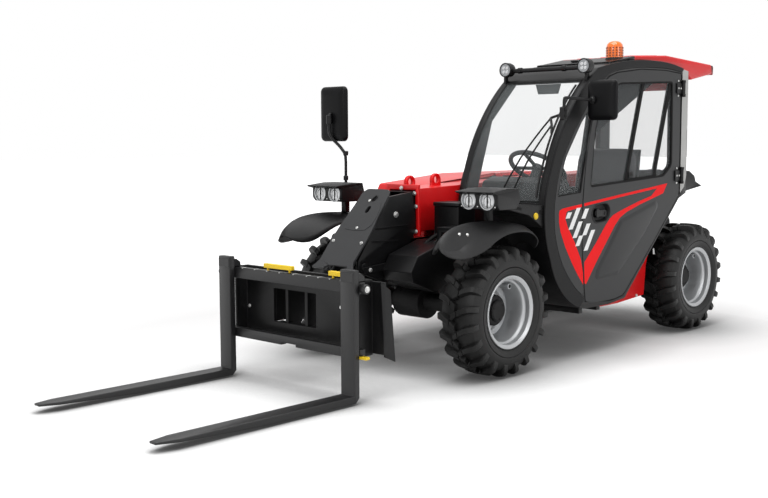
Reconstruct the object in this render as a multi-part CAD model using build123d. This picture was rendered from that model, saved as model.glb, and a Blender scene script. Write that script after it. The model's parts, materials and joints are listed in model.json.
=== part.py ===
from build123d import *
from math import atan2, cos, degrees, pi, radians, sin
import os

# A compact telehandler. Millimetres, +X forward, +Y to its left (the cab's side), +Z up,
# Z = 0 on the ground, Y = 0 midway between the wheels.

# ---- wheels, axles and steering -------------------------------------------------------------
WHEELBASE = 2160
FRONT_AXLE_X = 160
REAR_AXLE_X = FRONT_AXLE_X - WHEELBASE
TRACK = 1226                    # between the tyres' centre planes
TYRE_RADIUS = 380               # over the lugs
TYRE_WIDTH = 264
TREAD_FACETS = 20               # flats round the carcass, one under each pair of lugs
CARCASS_RADIUS = 353            # between the lugs
LUGS = 20                       # a side
LUG_WIDTH = 34
LUG_LEAN = 32                   # degrees off the axle's direction
LUG_MIDDLE = 54                 # from the tyre's middle plane
LUG_REACH = 77                  # along the lug, to each side of its middle
RIM_SEAT_RADIUS = 194
RIM_LIP_RADIUS = 213.5
RIM_WIDTH = 242                 # over both lips
RIM_LIP_THICKNESS = 7
RIM_BARREL_THICKNESS = 8
RIM_DISC_OFFSET = -50           # the disc's outer face from the tyre's centre plane
RIM_DISC_THICKNESS = 12
HUB_RADIUS = 92
HUB_LENGTH = 88
SPINDLE_RADIUS = 40
RUNNING_CLEARANCE = 0.05        # radial, at every pin and spindle
AXLE_Z = TYRE_RADIUS
KINGPIN_Y = 440
KINGPIN_RADIUS = 18
KNUCKLE_RADIUS = 46
KNUCKLE_HEIGHT = 130
YOKE_GAP = 5                    # between knuckle and yoke arm
YOKE_THICKNESS = 24
YOKE_RADIUS = 44
AXLE_TUBE_RADIUS = 52
AXLE_HOUSING_RADIUS = 105
AXLE_HOUSING_LENGTH = 210
STEER_CYLINDER_RADIUS = 30
STEER_CYLINDER_LENGTH = 300
STEER_ROD_RADIUS = 14
STEER_ROD_REACH = 330

# ---- chassis ---------------------------------------------------------------------------------
FRAME_PLATE = 15                # side plates of the spine under the boom
FRAME_GAP = 200                 # between the side plates
FRAME_BOTTOM = 306
FRAME_TOP = 740
FRAME_REAR_X = -2240
FRAME_FRONT_X = 330
BELLY_THICKNESS = 12
REAR_WEIGHT_BACK_X = -2440      # the rearmost face of the machine
REAR_WEIGHT_FRONT_X = FRAME_REAR_X
REAR_WEIGHT_HALF = 270
REAR_WEIGHT_BOTTOM = 400
REAR_WEIGHT_TOP = 800
NOSE_HALF = 270
NOSE_GAP = 6
NOSE_OUTLINE = (                # x, z of the boxes on each side of the boom's head
    (300, 470), (480, 540), (500, 600), (440, 690), (200, 760), (-60, 760), (-60, 600), (0, 500))
NOSE_ROOT = ((-60, 180), (600, 700))    # x, z of what ties them to the frame
TOWER_PLATE = 20
TOWER_CLEARANCE = 8             # beside the boom's foot
TOWER_FRONT_X = -1965
TOWER_BACK_X = -2200
TOWER_TOP = 1090
OUTRIGGER = 40                  # square tubes that carry the cab and the tank
OUTRIGGERS_X = (-890, -690)
CAB_POST_X = (-1880, -1800)     # the post under the cab's back
CAB_POST_Y = (34, 90)
HITCH_PIN_BORE = 14             # the tow pin drops through the rear weight
HITCH_PIN_SET = 90              # from the rear face to the pin
HITCH_SLOT = ((-60, 60), (520, 600))    # y, z of the mouth for a drawbar's eye
HITCH_SLOT_DEPTH = 150
VALVE_BOX = ((-60, 100), (95, 290), (760, 965))     # x, y, z of the box beside the boom
VALVE_BOX_LID = 22

# ---- boom ------------------------------------------------------------------------------------
BOOM_Y = -90                    # the boom lies right of the middle, beside the cab
BOOM_PIVOT_X = -2080
BOOM_PIVOT_Z = 999
BOOM_DROOP = 1.65               # degrees below level when parked
BOOM_WIDTH = 228
BOOM_HEIGHT = 265
BOOM_WALL = 8
BOOM_FRONT = 2264               # along the boom from its pivot
BOOM_BACK = 60
BOOM_PIN_RADIUS = 38
FLANGE_WIDTH = 270
FLANGE_HEIGHT = 316
FLANGE_THICKNESS = 20
LIFT_LUG = 14                   # the plates on the boom that hold the lift cylinder's rod
LIFT_LUG_GAP = 60
LIFT_LUG_HALF = (80, 32)        # half their length at the boom and at the pin
INNER_CLEARANCE = 6
INNER_WALL = 7
INNER_BACK = 700
INNER_FRONT = 2305
LIFTING_EYES_AT = (1955, 2195)  # along the boom
EYE_RADIUS = 42
EYE_BORE = 22
EYE_THICKNESS = 25

# ---- boom head, carriage and forks -----------------------------------------------------------
HEAD_PLATE = 20
HEAD_WIDTH = 240                # over the side plates
HEAD_OUTLINE = (                # x, z of a side plate
    (425, 1030), (233, 1050), (193, 890), (197, 803), (455, 515), (693, 602), (689, 669))
COVER_TOP = (398, 1071)         # x, z of the sloping cover's ends
COVER_FOOT = (790, 622)
COVER_THICKNESS = 12
COVER_HALF = ((0, 78), (0.05, 104), (0.3, 118), (0.5, 133), (0.72, 140), (0.86, 142), (0.93, 160), (1, 192))
COVER_NOTCH = ((0.93, 62), (0.93, -62), (1.01, -80), (1.01, 80))      # share of the length, y
TILT_PIVOT = (640, 628)         # x, z
TILT_PIN_RADIUS = 25
CARRIAGE_FACE_X = 1205          # front of the fork bars
CARRIAGE_HALF = 560
BAR_DEPTH = 40
UPPER_BAR = (578, 640)          # z
LOWER_BAR = (236, 288)
BAR_NOTCH = (-63, 57)           # y, in the lower bar's foot
BAR_NOTCH_DEPTH = 14
COUPLER_X = (1065, 1085)
COUPLER_OPENING = ((-262, 95), (332, 524))      # y, z of the view through its middle
COUPLER_SIDE_Y = 500
WING_Y = (590, 602)
WING_OUTLINE = ((1090, 636), (1017, 584), (981, 198), (1061, 233))
WING_TIE = ((1050, 1070), (246, 630))   # x, z of the strip from the coupler to the wing
EAR_OUTLINE = (                 # x, z of a tilt ear from its round end to the coupler's face
    (630, 592), (650, 664), (740, 572), (800, 575), (1065, 632), (1065, 256), (1010, 256), (850, 480))
LOCK_KNOB = (1191, 606)         # x, z of the coupler's lock pins
LOCK_KNOB_RADIUS = 26
LOCK_PIN_RADIUS = 13
LOCK_CATCH = (1207, 247)        # x, z of the catches at the coupler's foot
FORK_LOCKS_Y = ((-214, 22), (317, 452))         # the yellow handles on the upper bar
FORK_LOCK_SIZE = (26, 24)       # x, z
EAR_OFFSET = 82                 # the tilt ears' middles from the boom's plane
EAR_THICKNESS = 24
EAR_RADIUS = 36
FORK_FACE_X = 1247
FORK_INNER_Y = 459
FORK_WIDTH = 100
FORK_THICKNESS = 40
FORK_TOP = 704
FORK_BLADE_TOP = 50
FORK_TIP_X = 2447
FORK_TIP_THICKNESS = 12
FORK_TIP_TAPER = 620            # length over which the blade's underside rises to its tip
FORK_TIP_WIDTH = 48
FORK_TIP_POINT = 110            # length over which the blade narrows to its tip
FORK_CORNER = 26

# ---- cylinders -------------------------------------------------------------------------------
LIFT_BASE = (-1850, 480)        # x, z of the lift cylinder's foot pin
LIFT_EYE = (-800, 770)          # x, z of its rod eye with the boom down
LIFT_BARREL_RADIUS = 48
LIFT_BARREL_LENGTH = 930
LIFT_ROD_RADIUS = 28
TILT_BASE = (262, 850)          # x, z of the tilt cylinder's foot pin
TILT_EYE = (608, 684)           # x, z of its rod eye with the forks level
TILT_BARREL_RADIUS = 36
TILT_BARREL_LENGTH = 255
TILT_ROD_RADIUS = 20
EYE_WALL = 14                   # round a cylinder's pins
CYLINDER_PIN_RADIUS = 20
ROD_CLEARANCE = 0.5

# ---- engine side -----------------------------------------------------------------------------
HOOD_OUTLINE = (                # x, z
    (-215, 660), (-190, 960), (-250, 1068), (-900, 1122), (-1700, 1122), (-1850, 1060), (-1880, 815),
    (-1630, 815), (-1540, 660))
HOOD_Y = (-715, -255)
HOOD_SHEET = 5
HOOD_HINGE_RADIUS = 9
HOOD_HINGE_Z = 1100
HOOD_HINGES_X = ((-1010, -930), (-1560, -1480))
HOOD_LOUVRES = (-1500, -1120)   # x
HOOD_LOUVRE_STEPS = (780, 1020, 30)             # z of the first, end, pitch
HOOD_LOUVRE_GAP = 14
ENGINE_X = (-1480, -780)
ENGINE_Y = (-600, -300)
ENGINE_Z = (400, 1000)
ENGINE_FOOT = ((-1200, -1100), (450, 520))      # x, z of its mounting on the frame
TANK_OUTLINE = (                # x, z of the tank and step under the hood
    (-240, 648), (-300, 366), (-380, 306), (-1240, 306), (-1400, 406), (-1525, 648))
TANK_Y = (-715, -620)

# ---- cab -------------------------------------------------------------------------------------
CAB_Y = (40, 710)
CAB_WALL = 45
CAB_FOOT = (-638, 306)
CAB_FRONT_ARCS = (              # x, z: a point on each arc, and its end, up the front to the roof
    ((-349, 462), (-251, 644)), ((-190, 929), (-251, 1180)), ((-434, 1519), (-736, 1799)),
    ((-1120, 1862), (-1416, 1873)), ((-1600, 1866), (-1790, 1838)))
CAB_REAR = ((-1866, 1826), (-1866, 985), (-1770, 950))      # x, z, down the back
CAB_BELLY = ((-1405, 612), (-1090, 325), (-900, 306))       # x, z, forward under the door
WINDSHIELD_Z = (985, 1725)
GLASS = 6
QUARTER_GLASS = (
    (-316, 1020), (-566, 1036), (-596, 1180), (-640, 1330), (-690, 1590), (-560, 1470), (-392, 1250))
DOOR_OUTLINE = (                # x, z, clockwise from the front foot
    (-628, 352), (-604, 520), (-586, 700), (-583, 860), (-593, 1040), (-618, 1230), (-660, 1420), (-722, 1590),
    (-800, 1715), (-864, 1758), (-960, 1785), (-1250, 1818), (-1560, 1822), (-1758, 1808), (-1768, 1000),
    (-1758, 965), (-1440, 672), (-1100, 372), (-1060, 345), (-980, 332), (-900, 328))
DOOR_REAR = -1764               # x of the door's rear edge, for its hinges
DOOR_THICKNESS = 40
DOOR_GAP = 6
DOOR_WINDOW = ((-666, 1064), (-1553, 1107), (-1663, 1179), (-1655, 1750), (-1000, 1722), (-830, 1660),
               (-715, 1440))
DOOR_HINGES_Z = (1109, 1704)
DOOR_HINGE_LENGTH = 70
DOOR_HINGE_SET = 8
DOOR_HINGE_Y = 728
DOOR_PIN_RADIUS = 8
HANDLE_CENTRE = (-793, 900)
HANDLE_RECESS = (205, 118)      # length, height of an oval with straight sides
HANDLE_RECESS_DEPTH = 20
HANDLE_GRIP = (130, 42, 14)     # x, z, thickness
FLOOR_Z = 351
FLOOR_X = (-1180, -560)
FLOOR_MAT = 12
SEAT_CENTRE = (-1170, 375)
SEAT_WIDTH = 470
SEAT_LENGTH = 440
SEAT_Z = (740, 860)
SEAT_BACK_TOP = 1300
SEAT_BACK_LEAN = 80             # how far the back's top lies behind its foot
SEAT_BACK_THICKNESS = (110, 90) # at its foot and top
PEDESTAL_LENGTH = (380, 130)    # at the seat and at the floor
PEDESTAL_WIDTH = 400
DASH_OUTLINE = ((-330, 700), (-330, 960), (-380, 1100), (-480, 1130), (-560, 1020), (-500, 720))
STEERING_CENTRE = (-575, 375, 1180)
STEERING_RADIUS = 180
STEERING_GRIP = 15
STEERING_SPOKE = (26, 10)
STEERING_HUB = (38, 30)         # radius, depth
STEERING_COLUMN = (28, 170)     # radius, length
STEERING_TILT = 35
ROOF_TOP = ((-950, 1852), (-1250, 1905), (-1648, 1926), (-2284, 1890), (-2295, 1825), (-1992, 1772),
            (-1902, 1822))
ROOF_Y = (85, 665)
ROOF_FOOT = ((-1890, 1700), (-950, 1700))
ROOF_BAR_AT = (-648, 1805)
ROOF_BAR_RADIUS = 14
ROOF_LAMPS_Y = (84, 686)
ROOF_LAMP_RADIUS = 46
ROOF_LAMP_LENGTH = (30, 40)     # behind and ahead of the bar
REAR_LAMP_Z = (1818, 1880)
REAR_LAMP_X = (-2322, -2290)
REAR_LAMPS_Y = ((92, 150), (600, 658))
REAR_COWL = (                   # x, z of the black cowl behind the cab
    (-1866, 992), (-2110, 1022), (-2112, 1030), (-2030, 1060), (-2012, 1100), (-1940, 1136), (-1866, 1140))
REAR_COWL_Y = (330, 698)
RIGHT_WINDOW = ((-320, 1010), (-1740, 1010), (-1740, 1780), (-760, 1740), (-480, 1480))
REAR_WINDOW_Z = (1080, 1760)
BEACON = (-1160, 560)
BEACON_RADIUS = 62
BEACON_BASE = 40                # height of its black foot
BEACON_SHOULDER = 44            # height of the round part of its lens
BEACON_HEIGHT = 150               # from the roof to its top
SIDE_PANEL = (                  # x, z of the red panel under the cab's back, from its front foot
    (-852, 268), (-1186, 268), (-1520, 290), (-1541, 494), (-1558, 545), (-1582, 600), (-1630, 675),
    (-1705, 850), (-1660, 812), (-1400, 576), (-1100, 296), (-852, 296))
SIDE_PANEL_Y = (586, 598)

# ---- front bodywork --------------------------------------------------------------------------
FENDER_STATIONS = (             # x, inner y, outer y, inner z, crest z, outer z
    (676, 575, 660, 722, 738, 716), (672, 535, 700, 722, 765, 706), (656, 505, 728, 728, 800, 702),
    (616, 490, 742, 745, 840, 708), (548, 485, 745, 775, 874, 728), (470, 485, 745, 806, 895, 760),
    (390, 485, 745, 832, 905, 798), (300, 485, 745, 850, 907, 836), (200, 485, 745, 858, 902, 850),
    (100, 485, 745, 855, 890, 844), (10, 485, 745, 836, 868, 823), (-55, 485, 745, 805, 834, 790),
    (-95, 487, 744, 768, 792, 750), (-108, 500, 730, 742, 757, 730))
FENDER_SECTION = ((0, 0, 1), (0.12, 0.7, 0.3), (0.38, 1, 0), (0.7, 0.72, 0.28), (0.88, 0.36, 0.64), (1, 0, 1))
FENDER_SHEET = 9
FENDER_ARM_X = (60, 240)
FENDER_ARM_Z = (818, 849)
FENDER_ARM_REACH = 560          # y
LAMP_X = (150, 322)
LAMP_VISOR_X = 365
LAMP_Y = (490, 760)
LAMP_Z = (972, 1090)
LAMP_POST_Y = (570, 610)
LAMP_POST_FOOT = 898
HEADLAMPS_Y = (553, 686)
HEADLAMP_Z = 1024
HEADLAMP_RADIUS = 47
HEADLAMP_DEPTH = 26
CONSOLE_OUTLINE = ((-286, 957), (-321, 764), (-53, 919), (193, 972), (193, 1000), (-53, 985), (-200, 975))
CONSOLE_Y = (430, 700)
RIGHT_MIRROR_BACK_X = 70
RIGHT_MIRROR_Y = (-918, -677)
RIGHT_MIRROR_Z = (1355, 1715)
RIGHT_POST = (78, -700)
LEFT_MIRROR_BACK_X = -600
LEFT_MIRROR_Y = (745, 948)
LEFT_MIRROR_Z = (1477, 1719)
MIRROR_DEPTH = 45
MIRROR_ROUND = 12
MIRROR_ARM_RADIUS = 11


def block(x, y, z):
    """A box from its low and high x, y and z."""
    low, high = [min(s) for s in (x, y, z)], [max(s) for s in (x, y, z)]
    size = [b - a for a, b in zip(low, high)]
    return Pos(*[(a + b) / 2 for a, b in zip(low, high)]) * Box(*size)


def prism(outline, normal, span):
    """A solid with this outline, square to the axis named normal, over span on that axis."""
    axis = "xyz".index(normal)
    points = [[*point[:axis], span[0], *point[axis:]] for point in outline]
    face = Face(Wire.make_polygon([Vector(*p) for p in points], close=True))
    direction = [0, 0, 0]
    direction[axis] = span[1] - span[0]
    return Solid.extrude(face, Vector(*direction))


def rod(start, end, radius):
    """A round bar between two points."""
    along = Vector(*end) - Vector(*start)
    return Solid.make_cylinder(radius, along.length, Plane(origin=start, z_dir=along))


def cross_rod(at, y, radius):
    """A round bar along Y through the (x, z) point at."""
    return rod((at[0], y[0], at[1]), (at[0], y[1], at[1]), radius)


def bent_bar(points, radius):
    """A round bar along the points, with a slightly larger ball at each corner."""
    bar = rod(points[0], points[1], radius)
    for start, end in zip(points[1:], points[2:]):
        bar += Pos(*start) * Sphere(radius + 1.5)
        bar += rod(start, end, radius)
    return bar


def inset(outline, by):
    """The outline's points moved inward by a wall; the outline may run either way round."""
    turns = sum(a[0] * b[1] - b[0] * a[1] for a, b in zip(outline, [*outline[1:], outline[0]]))
    sense = 1 if turns > 0 else -1
    moved = []
    for i, at in enumerate(outline):
        before, after = Vector(*outline[i - 1]), Vector(*outline[(i + 1) % len(outline)])
        at = Vector(*at)
        sides = ((at - before).normalized(), (after - at).normalized())
        normals = [Vector(-d.Y, d.X) * sense for d in sides]
        middle = (normals[0] + normals[1]).normalized()
        at += middle * (by / middle.dot(normals[0]))
        moved.append((at.X, at.Y))
    return moved


def spin(outline, axle_x, centre_y, side):
    """A ring round the axle from (radius, distance outward from centre_y) points."""
    points = [Vector(axle_x + r, centre_y + side * w, AXLE_Z) for r, w in outline]
    face = Face(Wire.make_polygon(points, close=True))
    return Solid.revolve(face, 360, Axis((axle_x, 0, AXLE_Z), (0, 1, 0)))


def turned(profile, x, y):
    """A solid turned round the upright axis at x, y from (radius, z) points."""
    face = Face(Wire.make_polygon([Vector(x + r, y, z) for r, z in profile], close=True))
    return Solid.revolve(face, 360, Axis((x, y, 0), (0, 0, 1)))


def cab_prism(wall, span):
    """The cab's side outline, set in by wall, as a solid over span on Y."""
    arcs = [p for pair in CAB_FRONT_ARCS for p in pair]
    points = [(x, span[0], z) for x, z in inset([CAB_FOOT, *arcs, *CAB_REAR, *CAB_BELLY], wall)]
    edges = [ThreePointArc(*points[i:i + 3]) for i in range(0, len(arcs), 2)]
    edges.append(Polyline(*points[len(arcs):], points[0]))
    face = Face(Wire([e for part in edges for e in part.edges()]))
    return Solid.extrude(face, Vector(0, span[1] - span[0], 0))


boom_place = Pos(BOOM_PIVOT_X, BOOM_Y, BOOM_PIVOT_Z) * Rot(0, BOOM_DROOP, 0)
nodes = {}


# ---- wheels ----------------------------------------------------------------------------------
def faceted(profile, facets):
    """A ring of flats round the Y axis, through a closed loop of (radius, distance along it) points."""
    turns = [2 * pi * (k + 0.5) / facets for k in range(facets)]
    rings = [[Vector(r * cos(a), w, r * sin(a)) for a in turns] for r, w in profile]
    flats = []
    for ring, after in zip(rings, rings[1:] + rings[:1]):
        for k in range(facets):
            following = (k + 1) % facets
            loop = [ring[k], ring[following], after[following], after[k]]
            flats.append(Face(Wire.make_polygon(loop, close=True)))
    return Solid(Shell(flats))


def tyre():
    """A lugged tyre round the Y axis: a faceted carcass with a ring of leaning lugs on each side."""
    half, lip = TYRE_WIDTH / 2, RIM_WIDTH / 2 - RIM_LIP_THICKNESS
    profile = [(RIM_LIP_RADIUS + 6, lip), (RIM_LIP_RADIUS + 66, half - 1), (CARCASS_RADIUS, half - 33)]
    bore = (RIM_SEAT_RADIUS / cos(pi / TREAD_FACETS), lip)
    loop = [bore, *profile]
    carcass = faceted(loop + [(r, -w) for r, w in reversed(loop)], TREAD_FACETS)
    lean = radians(LUG_LEAN)
    swing = LUG_REACH * sin(lean) + LUG_WIDTH / 2 * cos(lean)       # a corner's distance round the tread
    top = (TYRE_RADIUS ** 2 - swing ** 2) ** 0.5
    side_view = [(-LUG_REACH, CARCASS_RADIUS - 22), (-LUG_REACH, top), (LUG_REACH - 24, top),
                 (LUG_REACH, top - 50), (LUG_REACH - 30, top - 72)]
    lug = prism(side_view, "x", (-LUG_WIDTH / 2, LUG_WIDTH / 2))
    lugs = []
    for hand, facing, offset in ((1, 0, 0), (-1, 180, 0.5)):      # side, which way out, share of a pitch
        for k in range(LUGS):
            turn = degrees(atan2(swing, top)) + 360 / LUGS * (k + offset)
            place = Rot(0, turn, 0) * Pos(0, hand * LUG_MIDDLE, 0) * Rot(0, 0, hand * LUG_LEAN + facing)
            lugs.append(place * lug)
    return carcass.fuse(*lugs)


def rim(axle_x, side):
    half, inner = RIM_WIDTH / 2, RIM_SEAT_RADIUS - RIM_BARREL_THICKNESS
    lip = half - RIM_LIP_THICKNESS
    barrel = [(inner, half), (RIM_LIP_RADIUS, half), (RIM_LIP_RADIUS, lip), (RIM_SEAT_RADIUS, lip)]
    disc_out, disc_in = RIM_DISC_OFFSET, RIM_DISC_OFFSET - RIM_DISC_THICKNESS
    bore = SPINDLE_RADIUS + RUNNING_CLEARANCE
    disc = [(bore, disc_in), (inner + 1, disc_in), (inner + 1, disc_out), (bore, disc_out)]
    hub = [(bore, disc_in), (HUB_RADIUS, disc_in), (HUB_RADIUS, disc_out + HUB_LENGTH - 12),
           (HUB_RADIUS - 12, disc_out + HUB_LENGTH), (bore, disc_out + HUB_LENGTH)]
    centre = side * TRACK / 2
    ring = spin(barrel + [(r, -w) for r, w in reversed(barrel)], axle_x, centre, side)
    return ring + spin(disc, axle_x, centre, side) + spin(hub, axle_x, centre, side)


def knuckle(axle_x, side):
    pin = KINGPIN_RADIUS - RUNNING_CLEARANCE
    reach = KNUCKLE_HEIGHT / 2 + YOKE_GAP + YOKE_THICKNESS
    y = side * KINGPIN_Y
    half = KNUCKLE_HEIGHT / 2
    body = rod((axle_x, y, AXLE_Z - half), (axle_x, y, AXLE_Z + half), KNUCKLE_RADIUS)
    kingpin = rod((axle_x, y, AXLE_Z - reach), (axle_x, y, AXLE_Z + reach), pin)
    tip = TRACK / 2 + RIM_DISC_OFFSET + HUB_LENGTH - 10
    spindle = rod((axle_x, y, AXLE_Z), (axle_x, side * tip, AXLE_Z), SPINDLE_RADIUS)
    return body + kingpin + spindle


def axle(axle_x, behind):
    """The beam with its housing, yokes and steering cylinder; behind is -1 or 1 along X."""
    beam = rod((axle_x, -AXLE_HOUSING_LENGTH / 2, AXLE_Z), (axle_x, AXLE_HOUSING_LENGTH / 2, AXLE_Z),
               AXLE_HOUSING_RADIUS)
    arm_low = KNUCKLE_HEIGHT / 2 + YOKE_GAP
    tube_end = KINGPIN_Y - KNUCKLE_RADIUS - 22
    beam += rod((axle_x, -tube_end, AXLE_Z), (axle_x, tube_end, AXLE_Z), AXLE_TUBE_RADIUS)
    for side in (1, -1):
        y = side * KINGPIN_Y
        web = block((axle_x - YOKE_RADIUS, axle_x + YOKE_RADIUS), (side * (tube_end - 30), side * tube_end),
                    (AXLE_Z - arm_low - YOKE_THICKNESS, AXLE_Z + arm_low + YOKE_THICKNESS))
        beam += web
        for z in (AXLE_Z + arm_low, AXLE_Z - arm_low - YOKE_THICKNESS):
            beam += block((axle_x - YOKE_RADIUS, axle_x + YOKE_RADIUS), (side * (tube_end - 30), y),
                          (z, z + YOKE_THICKNESS))
            beam += rod((axle_x, y, z), (axle_x, y, z + YOKE_THICKNESS), YOKE_RADIUS)
    for side in (1, -1):
        y = side * KINGPIN_Y
        beam -= rod((axle_x, y, 0), (axle_x, y, 2 * AXLE_Z), KINGPIN_RADIUS)
    back_x = axle_x + behind * (AXLE_TUBE_RADIUS + STEER_CYLINDER_RADIUS + 12)
    beam += rod((back_x, -STEER_CYLINDER_LENGTH / 2, AXLE_Z), (back_x, STEER_CYLINDER_LENGTH / 2, AXLE_Z),
                STEER_CYLINDER_RADIUS)
    beam += block((axle_x, back_x), (-40, 40), (AXLE_Z - 20, AXLE_Z + 20))
    beam += rod((back_x, -STEER_ROD_REACH, AXLE_Z), (back_x, STEER_ROD_REACH, AXLE_Z), STEER_ROD_RADIUS)
    return beam


lugged_tyre = tyre()
AXLES = (("front", FRONT_AXLE_X, -1), ("rear", REAR_AXLE_X, 1))
SIDES = (("left", 1), ("right", -1))
for end, axle_x, behind in AXLES:
    nodes[f"{end}_axle"] = axle(axle_x, behind)
    for hand, side in SIDES:
        nodes[f"{end}_{hand}_knuckle"] = knuckle(axle_x, side)
        nodes[f"{end}_{hand}_rim"] = rim(axle_x, side)
        nodes[f"{end}_{hand}_tyre"] = Pos(axle_x, side * TRACK / 2, AXLE_Z) * lugged_tyre

# ---- chassis ---------------------------------------------------------------------------------
frame_left = BOOM_Y + FRAME_GAP / 2
frame_right = BOOM_Y - FRAME_GAP / 2
side_span = ((frame_left, frame_left + FRAME_PLATE), (frame_right - FRAME_PLATE, frame_right))
axle_cut = AXLE_HOUSING_RADIUS + 6
frame = Part()
spine_outline = [(FRAME_FRONT_X, 450), (FRAME_FRONT_X - 60, FRAME_BOTTOM + 200), (FRAME_FRONT_X - 60, 640),
                 (120, FRAME_TOP), (FRAME_REAR_X, FRAME_TOP), (FRAME_REAR_X, FRAME_BOTTOM + 120),
                 (REAR_AXLE_X - 150, AXLE_Z + axle_cut), (REAR_AXLE_X + 150, AXLE_Z + axle_cut),
                 (REAR_AXLE_X + 220, FRAME_BOTTOM), (FRONT_AXLE_X - 220, FRAME_BOTTOM),
                 (FRONT_AXLE_X - 150, AXLE_Z + axle_cut), (FRONT_AXLE_X + 110, AXLE_Z + axle_cut)]
for span in side_span:
    frame += prism(spine_outline, "y", span)
inside = (frame_right, frame_left)
belly_x = (REAR_AXLE_X + 230, FRONT_AXLE_X - 230)
frame += block(belly_x, inside, (FRAME_BOTTOM, FRAME_BOTTOM + BELLY_THICKNESS))
frame += block((REAR_AXLE_X - 110, REAR_AXLE_X + 70), inside, (AXLE_Z + axle_cut, AXLE_Z + axle_cut + 14))
frame += block((FRONT_AXLE_X - 140, FRONT_AXLE_X + 105), inside, (AXLE_Z + axle_cut, AXLE_Z + axle_cut + 14))
outrigger_y = (TANK_Y[0] + 20, CAB_Y[1] - 60)
for x in OUTRIGGERS_X:      # cross members that carry the cab and the tank
    frame += block((x, x + OUTRIGGER), outrigger_y, (FRAME_BOTTOM - OUTRIGGER, FRAME_BOTTOM))
frame += block(CAB_POST_X, (frame_left, CAB_POST_Y[1]), (FRAME_TOP - 100, FRAME_TOP))
frame += block(CAB_POST_X, CAB_POST_Y, (FRAME_TOP - 100, 985)) - cab_prism(0, CAB_Y)
tower_left = BOOM_Y + BOOM_WIDTH / 2 + TOWER_CLEARANCE
tower_right = BOOM_Y - BOOM_WIDTH / 2 - TOWER_CLEARANCE
tower_foot = FRAME_TOP - 60
tower_y = (tower_right - TOWER_PLATE, tower_left + TOWER_PLATE)
between = (frame_right - FRAME_PLATE, frame_left + FRAME_PLATE)
towers = prism([(TOWER_FRONT_X, tower_foot), (TOWER_FRONT_X, TOWER_TOP - 60), (TOWER_FRONT_X - 50, TOWER_TOP),
                (TOWER_BACK_X + 60, TOWER_TOP), (TOWER_BACK_X, TOWER_TOP - 90), (TOWER_BACK_X - 30, tower_foot)],
               "y", tower_y)
towers -= block((-3000, 0), (tower_right, tower_left), (FRAME_TOP - 100, TOWER_TOP + 10))
towers += block((TOWER_BACK_X - 30, TOWER_FRONT_X), tower_y, (tower_foot, FRAME_TOP)) \
    - block((-3000, 0), between, (0, FRAME_TOP))
towers -= cross_rod((BOOM_PIVOT_X, BOOM_PIVOT_Z), (-600, 600), BOOM_PIN_RADIUS)
frame += towers
frame += cross_rod(LIFT_BASE, between, CYLINDER_PIN_RADIUS)
for axle_x in (FRONT_AXLE_X, REAR_AXLE_X):      # saddles on the axles' housings
    frame += block((axle_x - 60, axle_x + 60), (frame_right, frame_left), (AXLE_Z + 40, AXLE_Z + axle_cut)) \
        - cross_rod((axle_x, AXLE_Z), (-600, 600), AXLE_HOUSING_RADIUS)
nodes["chassis_frame"] = frame

nose = Part()
for side, edge in ((1, frame_left + FRAME_PLATE), (-1, frame_right - FRAME_PLATE)):
    head_side = BOOM_Y + side * (HEAD_WIDTH / 2 + NOSE_GAP)
    nose += prism(NOSE_OUTLINE, "y", sorted((head_side, side * NOSE_HALF)))
    nose += block(NOSE_ROOT[0], sorted((edge, head_side)), NOSE_ROOT[1])
nose -= cross_rod((FRONT_AXLE_X, AXLE_Z), (-700, 700), AXLE_HOUSING_RADIUS + 20)
box_x, box_y, box_z = VALVE_BOX
nose += block(box_x, box_y, box_z)
lid_x, lid_y = [(low - 6, high + 6) for low, high in (box_x, box_y)]
nose += block(lid_x, lid_y, (box_z[1], box_z[1] + VALVE_BOX_LID))
nodes["nose"] = nose

weight = prism(
    [(REAR_WEIGHT_BACK_X, REAR_WEIGHT_BOTTOM + 60), (REAR_WEIGHT_BACK_X, REAR_WEIGHT_TOP - 60),
     (REAR_WEIGHT_BACK_X + 50, REAR_WEIGHT_TOP), (REAR_WEIGHT_FRONT_X, REAR_WEIGHT_TOP),
     (REAR_WEIGHT_FRONT_X, REAR_WEIGHT_BOTTOM), (REAR_WEIGHT_BACK_X + 40, REAR_WEIGHT_BOTTOM)],
    "y", (-REAR_WEIGHT_HALF, REAR_WEIGHT_HALF))
weight -= block((REAR_WEIGHT_BACK_X - 1, REAR_WEIGHT_BACK_X + HITCH_SLOT_DEPTH), *HITCH_SLOT)
pin_x = REAR_WEIGHT_BACK_X + HITCH_PIN_SET
weight -= rod((pin_x, 0, REAR_WEIGHT_BOTTOM - 1), (pin_x, 0, REAR_WEIGHT_TOP + 1), HITCH_PIN_BORE)
nodes["rear_weight"] = weight


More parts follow.
